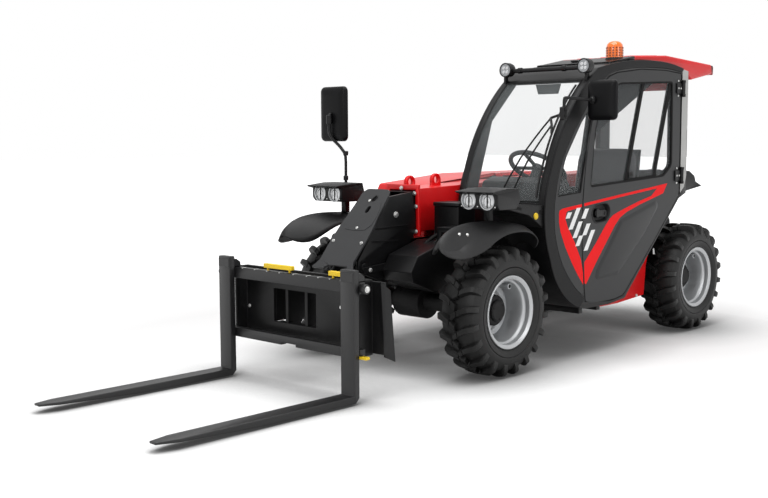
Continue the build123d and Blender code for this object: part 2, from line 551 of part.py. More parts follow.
# ---- engine side -----------------------------------------------------------------------------
hood = prism(HOOD_OUTLINE, "y", HOOD_Y)
hood -= prism(inset(HOOD_OUTLINE, HOOD_SHEET), "y", (HOOD_Y[0] + HOOD_SHEET, HOOD_Y[1] + 1))
for (back, foot), (front, _) in ((HOOD_OUTLINE[-1], HOOD_OUTLINE[0]), (HOOD_OUTLINE[6], HOOD_OUTLINE[7])):
    hood -= block((back + 2 * HOOD_SHEET, front - 2 * HOOD_SHEET), (HOOD_Y[0] + HOOD_SHEET, HOOD_Y[1] + 1),
                  (foot - 1, foot + 2 * HOOD_SHEET))
hinge_y = HOOD_Y[1]
for z in range(*HOOD_LOUVRE_STEPS):
    hood -= block(HOOD_LOUVRES, (HOOD_Y[0] - 1, HOOD_Y[0] + HOOD_SHEET + 1), (z, z + HOOD_LOUVRE_GAP))
for span in HOOD_HINGES_X:
    ear = block(span, (hinge_y - 30, hinge_y), (HOOD_HINGE_Z, HOOD_HINGE_Z + 60))
    hood += rod((span[0], hinge_y, HOOD_HINGE_Z), (span[1], hinge_y, HOOD_HINGE_Z), HOOD_HINGE_RADIUS + 6)
    hood += ear & prism(HOOD_OUTLINE, "y", HOOD_Y)
    hood -= rod((span[0] - 1, hinge_y, HOOD_HINGE_Z), (span[1] + 1, hinge_y, HOOD_HINGE_Z), HOOD_HINGE_RADIUS)
nodes["engine_hood"] = hood
engine_foot = block(ENGINE_FOOT[0], (ENGINE_Y[1], frame_right - FRAME_PLATE), ENGINE_FOOT[1])
nodes["engine"] = block(ENGINE_X, ENGINE_Y, ENGINE_Z) + engine_foot
nodes["tank"] = prism(TANK_OUTLINE, "y", TANK_Y)
sheet_y = (frame_right - FRAME_PLATE - 17, frame_right - FRAME_PLATE - 5)
hinge_ends = (HOOD_HINGES_X[1][0] - 40, HOOD_HINGES_X[0][1] + 40)
bulkhead = block(hinge_ends, sheet_y, (600, HOOD_HINGE_Z - 40))
bulkhead += block(hinge_ends, (sheet_y[1], frame_right - FRAME_PLATE), (600, FRAME_TOP - 10))
for span in HOOD_HINGES_X:
    for x in ((span[0] - 26, span[0] - 4), (span[1] + 4, span[1] + 26)):
        bulkhead += block(x, (hinge_y - HOOD_HINGE_RADIUS - 4, sheet_y[1]), (HOOD_HINGE_Z - 60, HOOD_HINGE_Z))
        bulkhead += rod((x[0], hinge_y, HOOD_HINGE_Z), (x[1], hinge_y, HOOD_HINGE_Z), HOOD_HINGE_RADIUS + 4)
    bulkhead += rod((span[0] - 26, hinge_y, HOOD_HINGE_Z), (span[1] + 26, hinge_y, HOOD_HINGE_Z),
                    HOOD_HINGE_RADIUS - RUNNING_CLEARANCE)
nodes["hood_bulkhead"] = bulkhead

# ---- boom ------------------------------------------------------------------------------------
half_width, half_height = BOOM_WIDTH / 2, BOOM_HEIGHT / 2
tube = block((-BOOM_BACK, BOOM_FRONT), (-half_width, half_width), (-half_height, half_height))
tube -= block((BOOM_BACK + 40, BOOM_FRONT + 1), (-half_width + BOOM_WALL, half_width - BOOM_WALL),
              (-half_height + BOOM_WALL, half_height - BOOM_WALL))
flange = block((BOOM_FRONT - FLANGE_THICKNESS, BOOM_FRONT), (-FLANGE_WIDTH / 2, FLANGE_WIDTH / 2),
               (-FLANGE_HEIGHT / 2, FLANGE_HEIGHT / 2))
flange -= block((0, BOOM_FRONT + 1), (-half_width + BOOM_WALL, half_width - BOOM_WALL),
                (-half_height + BOOM_WALL, half_height - BOOM_WALL))
pin_reach = half_width + TOWER_CLEARANCE + TOWER_PLATE
boom = tube + flange + rod((0, -pin_reach, 0), (0, pin_reach, 0), BOOM_PIN_RADIUS - RUNNING_CLEARANCE)
for along in LIFTING_EYES_AT:
    eye = block((along - EYE_RADIUS, along + EYE_RADIUS), (-EYE_THICKNESS / 2, EYE_THICKNESS / 2),
                (half_height, half_height + 30))
    eye += cross_rod((along, half_height + 35), (-EYE_THICKNESS / 2, EYE_THICKNESS / 2), EYE_RADIUS)
    eye -= cross_rod((along, half_height + 38), (-50, 50), EYE_BORE)
    boom += eye - block((along - 80, along + 80), (-60, 60), (0, half_height))
boom = boom_place * boom
eye_x, eye_z = LIFT_EYE
for side in (1, -1):
    y = BOOM_Y + side * LIFT_LUG_GAP / 2
    lug = prism([(eye_x - LIFT_LUG_HALF[0], eye_z + 80), (eye_x - LIFT_LUG_HALF[1], eye_z - 20),
                 (eye_x + LIFT_LUG_HALF[1], eye_z - 20), (eye_x + LIFT_LUG_HALF[0], eye_z + 80)],
                "y", sorted((y, y + side * LIFT_LUG)))
    boom += lug - boom_place * block((0, BOOM_FRONT), (-half_width + 1, half_width - 1),
                                     (-half_height + BOOM_WALL / 2, half_height))
nodes["boom_outer"] = boom

inner_half = half_width - BOOM_WALL - INNER_CLEARANCE
inner_tall = half_height - BOOM_WALL - INNER_CLEARANCE
inner = block((INNER_BACK, INNER_FRONT), (-inner_half, inner_half), (-inner_tall, inner_tall))
inner -= block((INNER_BACK - 1, INNER_FRONT + 1), (-inner_half + INNER_WALL, inner_half - INNER_WALL),
               (-inner_tall + INNER_WALL, inner_tall - INNER_WALL))
inner = boom_place * inner
head_y = HEAD_WIDTH / 2
for side in (1, -1):
    span = sorted((BOOM_Y + side * (head_y - HEAD_PLATE), BOOM_Y + side * head_y))
    inner += prism(HEAD_OUTLINE, "y", span) - cross_rod(TILT_PIVOT, (-600, 600), TILT_PIN_RADIUS)
inner += cross_rod(TILT_BASE, (BOOM_Y - head_y + HEAD_PLATE, BOOM_Y + head_y - HEAD_PLATE),
                   CYLINDER_PIN_RADIUS - RUNNING_CLEARANCE)
nodes["boom_inner"] = inner

slope = Vector(COVER_FOOT[0] - COVER_TOP[0], 0, COVER_FOOT[1] - COVER_TOP[1])
outward = Vector(-slope.Z, 0, slope.X)
cover_plane = Plane(origin=(COVER_TOP[0], BOOM_Y, COVER_TOP[1]), x_dir=slope, z_dir=outward)
length = slope.length
sides = [(length * share, half) for share, half in COVER_HALF]
notch = make_face(Polyline(*[(length * share, y) for share, y in COVER_NOTCH], close=True))
cover = make_face(Polyline(*sides, *[(along, -half) for along, half in reversed(sides)], close=True)) - notch
cover_solid = extrude(cover_plane * cover, amount=-COVER_THICKNESS)
nodes["head_cover"] = cover_solid - nodes["boom_inner"]

# ---- carriage and forks ----------------------------------------------------------------------
pin_half = head_y + 6
bar_x = (CARRIAGE_FACE_X - BAR_DEPTH, CARRIAGE_FACE_X)
carriage = block(bar_x, (-CARRIAGE_HALF, CARRIAGE_HALF), UPPER_BAR)
carriage += block(bar_x, (-CARRIAGE_HALF, CARRIAGE_HALF), LOWER_BAR)
carriage -= block((1000, 1300), BAR_NOTCH, (LOWER_BAR[0] - 1, LOWER_BAR[0] + BAR_NOTCH_DEPTH))
for side in (1, -1):
    cheek_y = sorted((side * COUPLER_SIDE_Y, side * (COUPLER_SIDE_Y + 16)))
    carriage += block((COUPLER_X[1], bar_x[0]), cheek_y, (LOWER_BAR[0], UPPER_BAR[1]))
    carriage += prism(WING_OUTLINE, "y", sorted((side * WING_Y[0], side * WING_Y[1])))
    wing_tie_y = sorted((side * COUPLER_SIDE_Y, side * WING_Y[1]))
    carriage += block(WING_TIE[0], wing_tie_y, WING_TIE[1])
plate = block(COUPLER_X, (-COUPLER_SIDE_Y - 16, COUPLER_SIDE_Y + 16), (LOWER_BAR[0], UPPER_BAR[1]))
plate -= block((1000, 1200), *COUPLER_OPENING)
carriage += plate
for side in (1, -1):
    y = BOOM_Y + side * EAR_OFFSET
    span = sorted((y - EAR_THICKNESS / 2, y + EAR_THICKNESS / 2))
    carriage += prism(EAR_OUTLINE, "y", span)
    carriage += cross_rod(TILT_PIVOT, span, EAR_RADIUS)
tilt_pin = TILT_PIN_RADIUS - RUNNING_CLEARANCE
carriage += cross_rod(TILT_PIVOT, (BOOM_Y - pin_half, BOOM_Y + pin_half), tilt_pin)
for side in (1, -1):
    knob_foot, knob_end = FORK_INNER_Y + FORK_WIDTH + 8, WING_Y[1]
    carriage += cross_rod(LOCK_KNOB, sorted((side * knob_foot, side * knob_end)), LOCK_KNOB_RADIUS)
    carriage += cross_rod(LOCK_KNOB, sorted((side * COUPLER_SIDE_Y, side * knob_end)), LOCK_PIN_RADIUS)
nodes["carriage"] = carriage

lock_depth, lock_height = FORK_LOCK_SIZE
lock_x, lock_z = sum(bar_x) / 2, UPPER_BAR[1] + 16
locks = Part()
for span in FORK_LOCKS_Y:
    locks += block((lock_x - lock_depth / 2, lock_x + lock_depth / 2), span, (lock_z, lock_z + lock_height))
    for y in (span[0] + 20, span[1] - 32):
        locks += block((lock_x - 6, lock_x + 6), (y, y + 12), (UPPER_BAR[1], lock_z + 2))
for side in (1, -1):
    catch_x, catch_z = LOCK_CATCH
    locks += block((catch_x - 30, catch_x), sorted((side * COUPLER_SIDE_Y, side * (WING_Y[1] + 4))),
                   (catch_z - 8, catch_z + 8))
nodes["fork_locks"] = locks - carriage

for hand, side in SIDES:
    heel_x, sole = FORK_FACE_X - FORK_THICKNESS, FORK_BLADE_TOP - FORK_THICKNESS
    middle = side * (FORK_INNER_Y + FORK_WIDTH / 2)
    half, tip = FORK_WIDTH / 2, FORK_TIP_WIDTH / 2
    point_x = FORK_TIP_X - FORK_TIP_POINT
    fork = prism([(heel_x, FORK_TOP), (FORK_FACE_X, FORK_TOP), (FORK_FACE_X, FORK_BLADE_TOP),
                  (FORK_TIP_X, FORK_BLADE_TOP), (FORK_TIP_X, FORK_BLADE_TOP - FORK_TIP_THICKNESS),
                  (FORK_TIP_X - FORK_TIP_TAPER, sole), (heel_x + FORK_CORNER, sole),
                  (heel_x, sole + FORK_CORNER)], "y", (middle - half, middle + half))
    plan = prism([(heel_x, middle - half), (point_x, middle - half), (FORK_TIP_X, middle - tip),
                  (FORK_TIP_X, middle + tip), (point_x, middle + half), (heel_x, middle + half)],
                 "z", (0, FORK_TOP))
    nodes[f"{hand}_fork"] = fork & plan

# ---- cylinders -------------------------------------------------------------------------------
def cylinder(name, base, eye, barrel_radius, barrel_length, rod_radius, y):
    """A barrel with a foot eye on its pin, and a rod that slides in it and ends in an eye."""
    along = Vector(eye[0] - base[0], 0, eye[1] - base[1])
    reach, unit = along.length, along.normalized()
    at = lambda d: (base[0] + unit.X * d, y, base[1] + unit.Z * d)
    eye_radius = CYLINDER_PIN_RADIUS + EYE_WALL
    width = barrel_radius - 6
    barrel = rod(at(eye_radius - 6), at(barrel_length), barrel_radius)
    barrel += rod((base[0], y - width, base[1]), (base[0], y + width, base[1]), eye_radius)
    barrel -= rod(at(eye_radius + 30), at(barrel_length + 1), rod_radius + ROD_CLEARANCE)
    barrel -= rod((base[0], y - 200, base[1]), (base[0], y + 200, base[1]), CYLINDER_PIN_RADIUS)
    shaft = rod(at(eye_radius + 60), at(reach - eye_radius + 4), rod_radius)
    shaft += rod((eye[0], y - 22, eye[1]), (eye[0], y + 22, eye[1]), eye_radius)
    shaft -= rod((eye[0], y - 60, eye[1]), (eye[0], y + 60, eye[1]), CYLINDER_PIN_RADIUS)
    nodes[f"{name}_barrel"] = barrel
    nodes[f"{name}_rod"] = shaft


cylinder("lift", LIFT_BASE, LIFT_EYE, LIFT_BARREL_RADIUS, LIFT_BARREL_LENGTH, LIFT_ROD_RADIUS, BOOM_Y)
cylinder("tilt", TILT_BASE, TILT_EYE, TILT_BARREL_RADIUS, TILT_BARREL_LENGTH, TILT_ROD_RADIUS, BOOM_Y)


# ---- cab -------------------------------------------------------------------------------------
inner_y = (CAB_Y[0] + CAB_WALL, CAB_Y[1] - CAB_WALL)
left_wall = (inner_y[1] - 1, CAB_Y[1] + 1)
right_wall = (CAB_Y[0] - 1, inner_y[0] + 1)
cab = cab_prism(0, CAB_Y) - cab_prism(CAB_WALL, inner_y)
cab -= block((-1000, 0), inner_y, WINDSHIELD_Z)
cab -= prism(DOOR_OUTLINE, "y", left_wall)
cab -= prism(QUARTER_GLASS, "y", left_wall)
cab -= prism(RIGHT_WINDOW, "y", right_wall)
cab -= block((CAB_REAR[0][0] - 1, CAB_REAR[0][0] + CAB_WALL + 1), inner_y, REAR_WINDOW_Z)
pin_x = DOOR_REAR - DOOR_HINGE_SET
for z in DOOR_HINGES_Z:      # each hinge: two knuckles and their pin on the cab
    low, high = z - DOOR_HINGE_LENGTH / 2, z + DOOR_HINGE_LENGTH / 2
    for foot in (low - 22, high + 2):
        cab += rod((pin_x, DOOR_HINGE_Y, foot), (pin_x, DOOR_HINGE_Y, foot + 20), DOOR_PIN_RADIUS + 6)
        cab += block((pin_x - 30, pin_x), (CAB_Y[1] - 10, DOOR_HINGE_Y), (foot, foot + 20))
    pin_low, pin_high = low - 22, high + 22
    cab += rod((pin_x, DOOR_HINGE_Y, pin_low), (pin_x, DOOR_HINGE_Y, pin_high), DOOR_PIN_RADIUS - RUNNING_CLEARANCE)
nodes["cab"] = cab

glass_shell = cab_prism(0, inner_y) - cab_prism(GLASS, inner_y)
nodes["windshield"] = glass_shell & block((-1000, 0), inner_y, WINDSHIELD_Z)
nodes["rear_glass"] = block((CAB_REAR[0][0] + 10, CAB_REAR[0][0] + 10 + GLASS), inner_y, REAR_WINDOW_Z)
nodes["quarter_glass"] = prism(QUARTER_GLASS, "y", (CAB_Y[1] - 10 - GLASS, CAB_Y[1] - 10))
nodes["right_glass"] = prism(RIGHT_WINDOW, "y", (CAB_Y[0] + 10, CAB_Y[0] + 10 + GLASS))

door = prism(inset(DOOR_OUTLINE, DOOR_GAP), "y", (CAB_Y[1] - DOOR_THICKNESS, CAB_Y[1]))
door -= prism(DOOR_WINDOW, "y", left_wall)
recess_x, recess_z = HANDLE_CENTRE
straight = (HANDLE_RECESS[0] - HANDLE_RECESS[1]) / 2
recess_y = (CAB_Y[1] - HANDLE_RECESS_DEPTH, CAB_Y[1] + 1)
for x in (recess_x - straight, recess_x + straight):
    door -= cross_rod((x, recess_z), recess_y, HANDLE_RECESS[1] / 2)
door -= block((recess_x - straight, recess_x + straight), recess_y,
              (recess_z - HANDLE_RECESS[1] / 2, recess_z + HANDLE_RECESS[1] / 2))
for z in DOOR_HINGES_Z:
    low, high = z - DOOR_HINGE_LENGTH / 2, z + DOOR_HINGE_LENGTH / 2
    door += rod((pin_x, DOOR_HINGE_Y, low), (pin_x, DOOR_HINGE_Y, high), DOOR_PIN_RADIUS + 6)
    door += block((pin_x, pin_x + 50), (CAB_Y[1], DOOR_HINGE_Y + 6), (low, high))
    door -= rod((pin_x, DOOR_HINGE_Y, low), (pin_x, DOOR_HINGE_Y, high), DOOR_PIN_RADIUS)
nodes["door"] = door
nodes["door_glass"] = prism(DOOR_WINDOW, "y", (CAB_Y[1] - 10 - GLASS, CAB_Y[1] - 10))
grip_x, grip_z, grip_y = HANDLE_GRIP
nodes["door_handle"] = Pos(recess_x, recess_y[0] + grip_y / 2, recess_z) * Box(grip_x, grip_y, grip_z)

roof = prism((*ROOF_TOP, *ROOF_FOOT), "y", ROOF_Y) - cab_prism(0, CAB_Y)
nodes["roof_cap"] = roof
foot_z, lens_foot = ROOF_TOP[0][1], ROOF_TOP[0][1] + BEACON_BASE
beacon_top = foot_z + BEACON_HEIGHT
lens, shoulder = BEACON_RADIUS - 6, beacon_top - BEACON_SHOULDER
dome = [(lens * cos(a), shoulder + BEACON_SHOULDER * sin(a)) for a in [pi / 2 * k / 5 for k in range(6)]]
base = [(0, foot_z), (BEACON_RADIUS, foot_z), (BEACON_RADIUS, lens_foot), (lens, lens_foot)]
beacon = turned([*base, *dome[:-1], (0, beacon_top)], *BEACON)
nodes["beacon"] = beacon - nodes["roof_cap"] - cab_prism(0, CAB_Y)
bar_x, bar_z = ROOF_BAR_AT
roof_lamps = cross_rod(ROOF_BAR_AT, ROOF_LAMPS_Y, ROOF_BAR_RADIUS)
for y in ROOF_LAMPS_Y:
    back, face = bar_x - ROOF_LAMP_LENGTH[0], bar_x + ROOF_LAMP_LENGTH[1]
    roof_lamps += rod((back, y, bar_z + 10), (face, y, bar_z + 5), ROOF_LAMP_RADIUS)
    foot_y = min(max(y, CAB_Y[0] + 12), CAB_Y[1] - 12)
    roof_lamps += block((bar_x - 10, bar_x + 10), (foot_y - 10, foot_y + 10), (bar_z - 90, bar_z))
nodes["roof_lamps"] = roof_lamps - cab_prism(0, CAB_Y)
rear_lamps = Part()
for span in REAR_LAMPS_Y:
    rear_lamps += block(REAR_LAMP_X, span, REAR_LAMP_Z)
nodes["rear_lamps"] = rear_lamps - roof
nodes["rear_cowl"] = prism(REAR_COWL, "y", REAR_COWL_Y)
nodes["side_panel"] = prism(SIDE_PANEL, "y", SIDE_PANEL_Y) - frame

nodes["cab_floor"] = block(FLOOR_X, inner_y, (FLOOR_Z, FLOOR_Z + FLOOR_MAT)) & cab_prism(CAB_WALL, inner_y)
seat_x, seat_y = SEAT_CENTRE
seat_span = (seat_y - SEAT_WIDTH / 2, seat_y + SEAT_WIDTH / 2)
seat_back_x = seat_x - SEAT_LENGTH / 2
seat = block((seat_back_x, seat_back_x + SEAT_LENGTH), seat_span, SEAT_Z)
seat += prism([(seat_back_x, SEAT_Z[0] + 60), (seat_back_x + SEAT_BACK_THICKNESS[0], SEAT_Z[1]),
               (seat_back_x - SEAT_BACK_LEAN + SEAT_BACK_THICKNESS[1], SEAT_BACK_TOP),
               (seat_back_x - SEAT_BACK_LEAN, SEAT_BACK_TOP)], "y", seat_span)
nodes["seat"] = seat
base_front = seat_x + PEDESTAL_LENGTH[0] / 2
base_y = (seat_y - PEDESTAL_WIDTH / 2, seat_y + PEDESTAL_WIDTH / 2)
pedestal = prism([(base_front - PEDESTAL_LENGTH[0], SEAT_Z[0]), (base_front, SEAT_Z[0]), (base_front, FLOOR_Z),
                  (base_front - PEDESTAL_LENGTH[1], FLOOR_Z)], "y", base_y)
nodes["seat_base"] = (pedestal & cab_prism(CAB_WALL, inner_y)) - nodes["cab_floor"]
nodes["dashboard"] = prism(DASH_OUTLINE, "y", inner_y) & cab_prism(CAB_WALL, inner_y)
tilt = Pos(*STEERING_CENTRE) * Rot(0, -STEERING_TILT, 0)
spoke, spoke_depth = STEERING_SPOKE
column, column_length = STEERING_COLUMN
wheel = Torus(STEERING_RADIUS, STEERING_GRIP) + Cylinder(*STEERING_HUB)
wheel += Box(2 * STEERING_RADIUS, spoke, spoke_depth) + Box(spoke, 2 * STEERING_RADIUS, spoke_depth)
wheel += Pos(0, 0, -column_length / 2) * Cylinder(column, column_length)
nodes["steering_wheel"] = tilt * wheel - nodes["dashboard"]

# ---- front bodywork --------------------------------------------------------------------------
def fender(side):
    """A thin dome from its stations, open below."""
    rings = []
    for x, y_in, y_out, z_in, z_crest, z_out in FENDER_STATIONS:
        top = []
        for share, crest, rest in FENDER_SECTION:
            edge = z_in if share < 0.38 else z_out
            top.append((y_in + (y_out - y_in) * share, z_crest * crest + edge * rest))
        ring = top + [(y, z - FENDER_SHEET) for y, z in reversed(top)]
        rings.append(Wire.make_polygon([Vector(x, side * y, z) for y, z in ring], close=True))
    return Solid.make_loft(rings, True)


def lamp_housing(side):
    """A lamp box with a visor over its face, on its post."""
    (back, face), (foot, top) = LAMP_X, LAMP_Z
    body = prism([(LAMP_VISOR_X, top - 14), (LAMP_VISOR_X, top - 24), (face, top - 34), (face, foot + 26),
                  (face - 22, foot), (back, foot), (back - 40, foot + 48), (back - 20, top), (back + 80, top)],
                 "y", sorted((side * LAMP_Y[0], side * LAMP_Y[1])))
    for y in HEADLAMPS_Y:
        body -= rod((face - HEADLAMP_DEPTH, side * y, HEADLAMP_Z), (LAMP_VISOR_X + 1, side * y, HEADLAMP_Z),
                    HEADLAMP_RADIUS)
    post_y = sorted((side * LAMP_POST_Y[0], side * LAMP_POST_Y[1]))
    return body + block((back + 20, back + 60), post_y, (LAMP_POST_FOOT, foot))


lamps = Part()
for hand, side in SIDES:
    nodes[f"{hand}_fender"] = fender(side)
    nodes[f"{hand}_lamp_housing"] = lamp_housing(side) - nodes[f"{hand}_fender"]
    for y in HEADLAMPS_Y:
        back, face = LAMP_X[1] - HEADLAMP_DEPTH, LAMP_X[1] - 4
        lamps += rod((back, side * y, HEADLAMP_Z), (face, side * y, HEADLAMP_Z), HEADLAMP_RADIUS)
nodes["headlamps"] = lamps
console = prism(CONSOLE_OUTLINE, "y", CONSOLE_Y) - cab_prism(0, CAB_Y)
nodes["console"] = console - nodes["left_fender"] - nodes["left_lamp_housing"]
brackets = Part()
for side in (1, -1):      # the arms that carry the fenders
    post_y = sorted((side * (NOSE_HALF - 30), side * NOSE_HALF))
    brackets += block(FENDER_ARM_X, post_y, (660, FENDER_ARM_Z[1]))
    brackets += block(FENDER_ARM_X, sorted((side * (NOSE_HALF - 30), side * FENDER_ARM_REACH)), FENDER_ARM_Z)
nodes["fender_arms"] = brackets - nodes["left_fender"] - nodes["right_fender"] - nodes["nose"]

# ---- mirrors ---------------------------------------------------------------------------------
def mirror(back_x, y_span, z_span, arm):
    """A round-edged mirror head on its bent arm."""
    head = block((back_x, back_x + MIRROR_DEPTH), y_span, z_span)
    head = fillet(head.edges(), MIRROR_ROUND)
    return head + bent_bar(arm, MIRROR_ARM_RADIUS)


post_x, post_y = RIGHT_POST
mid_y, arm_x = sum(RIGHT_MIRROR_Y) / 2, RIGHT_MIRROR_BACK_X + MIRROR_DEPTH + 20
right_arm = [(post_x, post_y, 870), (post_x, post_y, 1270), (post_x + 20, post_y - 60, 1340),
             (arm_x, mid_y, 1400), (arm_x, mid_y, 1535), (arm_x - MIRROR_DEPTH / 2 - 20, mid_y, 1535)]
nodes["right_mirror"] = mirror(RIGHT_MIRROR_BACK_X, RIGHT_MIRROR_Y, RIGHT_MIRROR_Z, right_arm) \
    - nodes["right_fender"]
arm_y, arm_end = CAB_Y[1] + 12, LEFT_MIRROR_BACK_X + MIRROR_DEPTH - 2
left_arm = [(-355, arm_y, 1500), (-360, arm_y, 1610), (arm_end, LEFT_MIRROR_Y[0] + 50, 1600)]
left_mirror = mirror(LEFT_MIRROR_BACK_X, LEFT_MIRROR_Y, LEFT_MIRROR_Z, left_arm)
nodes["left_mirror"] = left_mirror + block((-372, -340), (CAB_Y[1], CAB_Y[1] + 20), (1500, 1540))

for name, solid in nodes.items():
    print(name, len(solid.solids()), round(solid.volume / 1e6, 2),
          [round(v) for v in (*solid.bounding_box().min, *solid.bounding_box().max)])

os.makedirs("parts", exist_ok=True)
for name, solid in nodes.items():
    export_step(solid, f"parts/{name}.step")
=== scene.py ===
import json
from math import atan2, cos, pi, radians, sin, tan

import bmesh
import bpy
from mathutils import Matrix, Vector


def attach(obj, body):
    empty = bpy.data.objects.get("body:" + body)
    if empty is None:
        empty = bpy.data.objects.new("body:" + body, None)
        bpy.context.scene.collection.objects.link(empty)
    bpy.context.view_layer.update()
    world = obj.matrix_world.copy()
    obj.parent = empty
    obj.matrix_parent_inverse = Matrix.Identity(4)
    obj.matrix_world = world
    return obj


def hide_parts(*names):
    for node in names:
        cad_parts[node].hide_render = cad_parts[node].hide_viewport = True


# The dressed telehandler, in metres: +X forward, +Y to its left (the cab's side), +Z up.
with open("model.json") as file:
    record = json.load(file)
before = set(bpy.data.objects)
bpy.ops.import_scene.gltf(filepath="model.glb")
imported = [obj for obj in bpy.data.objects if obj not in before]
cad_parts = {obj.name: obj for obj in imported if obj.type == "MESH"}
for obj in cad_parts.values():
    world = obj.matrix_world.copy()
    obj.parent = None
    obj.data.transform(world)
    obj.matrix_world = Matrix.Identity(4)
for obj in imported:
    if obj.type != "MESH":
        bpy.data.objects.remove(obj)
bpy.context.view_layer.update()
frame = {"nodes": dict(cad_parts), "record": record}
BODY = {node: body for body, members in frame["record"]["behaviour"]["bodies"].items() for node in members}
SIDES = (("left", 1), ("right", -1))


# ---- materials -------------------------------------------------------------------------------
def node(tree, kind, **settings):
    """A shader node; a setting whose name is a socket's sets that socket."""
    made = tree.nodes.new("ShaderNode" + kind)
    for key, value in settings.items():
        if key in made.inputs:
            made.inputs[key].default_value = value
        else:
            setattr(made, key, value)
    return made


def material(name, colour, roughness, slot=None, metallic=0.0, mottle=0.08, mottle_scale=5.0, grain=0.0,
             grain_scale=700.0, stretch=(1, 1, 1), dust=0.0, **sockets):
    """A painted, moulded or cast finish: uneven colour and gloss, a fine grain and dust low down."""
    made = bpy.data.materials.new(name)
    made.use_nodes = True
    made["slot"] = slot or name
    tree = made.node_tree
    link = tree.links.new
    shader = tree.nodes["Principled BSDF"]
    shader.inputs["Metallic"].default_value = metallic
    for key, value in sockets.items():
        shader.inputs[key.replace("_", " ")].default_value = value
    place = node(tree, "TexCoord").outputs["Object"]
    spread = node(tree, "Mapping", Scale=stretch)
    link(place, spread.inputs["Vector"])
    cloud = node(tree, "TexNoise", Scale=mottle_scale, Detail=5.0, Roughness=0.6)
    link(spread.outputs["Vector"], cloud.inputs["Vector"])
    shade = node(tree, "ValToRGB")
    low, high = shade.color_ramp.elements
    low.position, high.position = 0.3, 0.7
    low.color = (*[c * (1 - mottle) for c in colour], 1)
    high.color = (*[min(1, c * (1 + mottle)) for c in colour], 1)
    link(cloud.outputs["Fac"], shade.inputs["Fac"])
    top = shade.outputs["Color"]
    if dust:
        height = node(tree, "SeparateXYZ")
        link(place, height.inputs["Vector"])
        fade = node(tree, "MapRange", **{"From Min": 0.0, "From Max": 0.9, "To Min": dust, "To Max": 0.0})
        link(height.outputs["Z"], fade.inputs["Value"])
        patch = node(tree, "TexNoise", Scale=14.0, Detail=6.0)
        link(place, patch.inputs["Vector"])
        amount = node(tree, "Math", operation="MULTIPLY")
        link(fade.outputs["Result"], amount.inputs[0])
        link(patch.outputs["Fac"], amount.inputs[1])
        dusty = node(tree, "Mix", data_type="RGBA")
        dusty.inputs["B"].default_value = (0.32, 0.3, 0.27, 1)
        link(amount.outputs[0], dusty.inputs["Factor"])
        link(top, dusty.inputs["A"])
        top = dusty.outputs["Result"]
    link(top, shader.inputs["Base Color"])
    gloss = node(tree, "MapRange", **{"To Min": roughness * 0.88, "To Max": min(1.0, roughness * 1.12)})
    link(cloud.outputs["Fac"], gloss.inputs["Value"])
    link(gloss.outputs["Result"], shader.inputs["Roughness"])
    if grain:
        fine = node(tree, "TexNoise", Scale=grain_scale, Detail=2.0)
        link(spread.outputs["Vector"], fine.inputs["Vector"])
        bump = node(tree, "Bump", Strength=min(1.0, grain), Distance=0.0006)
        link(fine.outputs["Fac"], bump.inputs["Height"])
        link(bump.outputs["Normal"], shader.inputs["Normal"])
    return made


def glass(name, colour, alpha, slot="clear_glass"):
    """A clear pane: faintly tinted, its tint a little uneven, with a sharp reflection; its pale base colour,
    mixed in by its alpha, is part tint and part a painted whitish reflection haze.
    """
    made = material(name, colour, 0.03, slot=slot, mottle=0.03, mottle_scale=2.0)
    made.node_tree.nodes["Principled BSDF"].inputs["Alpha"].default_value = alpha
    return made


CHARCOAL = material("charcoal_paint", (0.006, 0.006, 0.0065), 0.45, grain=0.35, grain_scale=900,
                    Specular_IOR_Level=0.14)
FORK_PAINT = material("fork_paint", (0.009, 0.009, 0.0095), 0.36, slot="charcoal_paint", mottle=0.14,
                      grain=0.4, grain_scale=600, Specular_IOR_Level=0.42)
HEAD_PAINT = material("head_paint", (0.030, 0.0305, 0.032), 0.40, slot="charcoal_paint", grain=0.3,
                      Specular_IOR_Level=0.25)
CAB_SHELL = material("cab_shell", (0.022, 0.0225, 0.0235), 0.42, slot="charcoal_paint", grain=0.25,
                     Specular_IOR_Level=0.25)
BLACK = material("black_paint", (0.005, 0.005, 0.0055), 0.36, grain=0.3, dust=0.02,
                 Specular_IOR_Level=0.22)
RED = material("red_paint", (0.66, 0.006, 0.008), 0.34, mottle=0.06, grain=0.12, grain_scale=160,
               Specular_IOR_Level=0.3, Coat_Weight=0.05, Coat_Roughness=0.15)
STRIPE_RED = material("stripe_red", (0.86, 0.006, 0.008), 0.4, slot="red_paint", mottle=0.03,
                      Specular_IOR_Level=0.1)
STRIPE_WHITE = material("stripe_white", (0.82, 0.82, 0.82), 0.4, slot="red_paint", mottle=0.03)
PLASTIC = material("black_plastic", (0.009, 0.009, 0.0095), 0.46, grain=0.6, grain_scale=520,
                   Specular_IOR_Level=0.22)
FENDER = material("fender_plastic", (0.009, 0.009, 0.0095), 0.48, slot="black_plastic", grain=0.8,
                  grain_scale=480, dust=0.03, Specular_IOR_Level=0.3)
TYRE = material("tyre_rubber", (0.006, 0.006, 0.006), 0.5, mottle=0.25, mottle_scale=9, grain=0.6,
                grain_scale=260, dust=0.012, Specular_IOR_Level=0.3)
SEAL = material("rubber_seal", (0.004, 0.004, 0.004), 0.7, slot="black_plastic", mottle=0.15, grain=0.5,
                Specular_IOR_Level=0.15)
SILVER = material("rim_silver", (0.46, 0.47, 0.48), 0.36, metallic=0.6, mottle=0.05, grain=0.2, dust=0.05)
CAST = material("cast_black", (0.007, 0.007, 0.0075), 0.55, grain=1.0, grain_scale=240, dust=0.03,
                Specular_IOR_Level=0.2)
CHROME = material("chrome_rod", (0.72, 0.72, 0.74), 0.09, metallic=1.0, mottle=0.02, grain=0.1,
                  grain_scale=60, stretch=(1, 12, 12))
ZINC = material("zinc_bolt", (0.62, 0.62, 0.61), 0.3, slot="rim_silver", metallic=0.85, mottle=0.12,
                mottle_scale=60, grain=0.3)
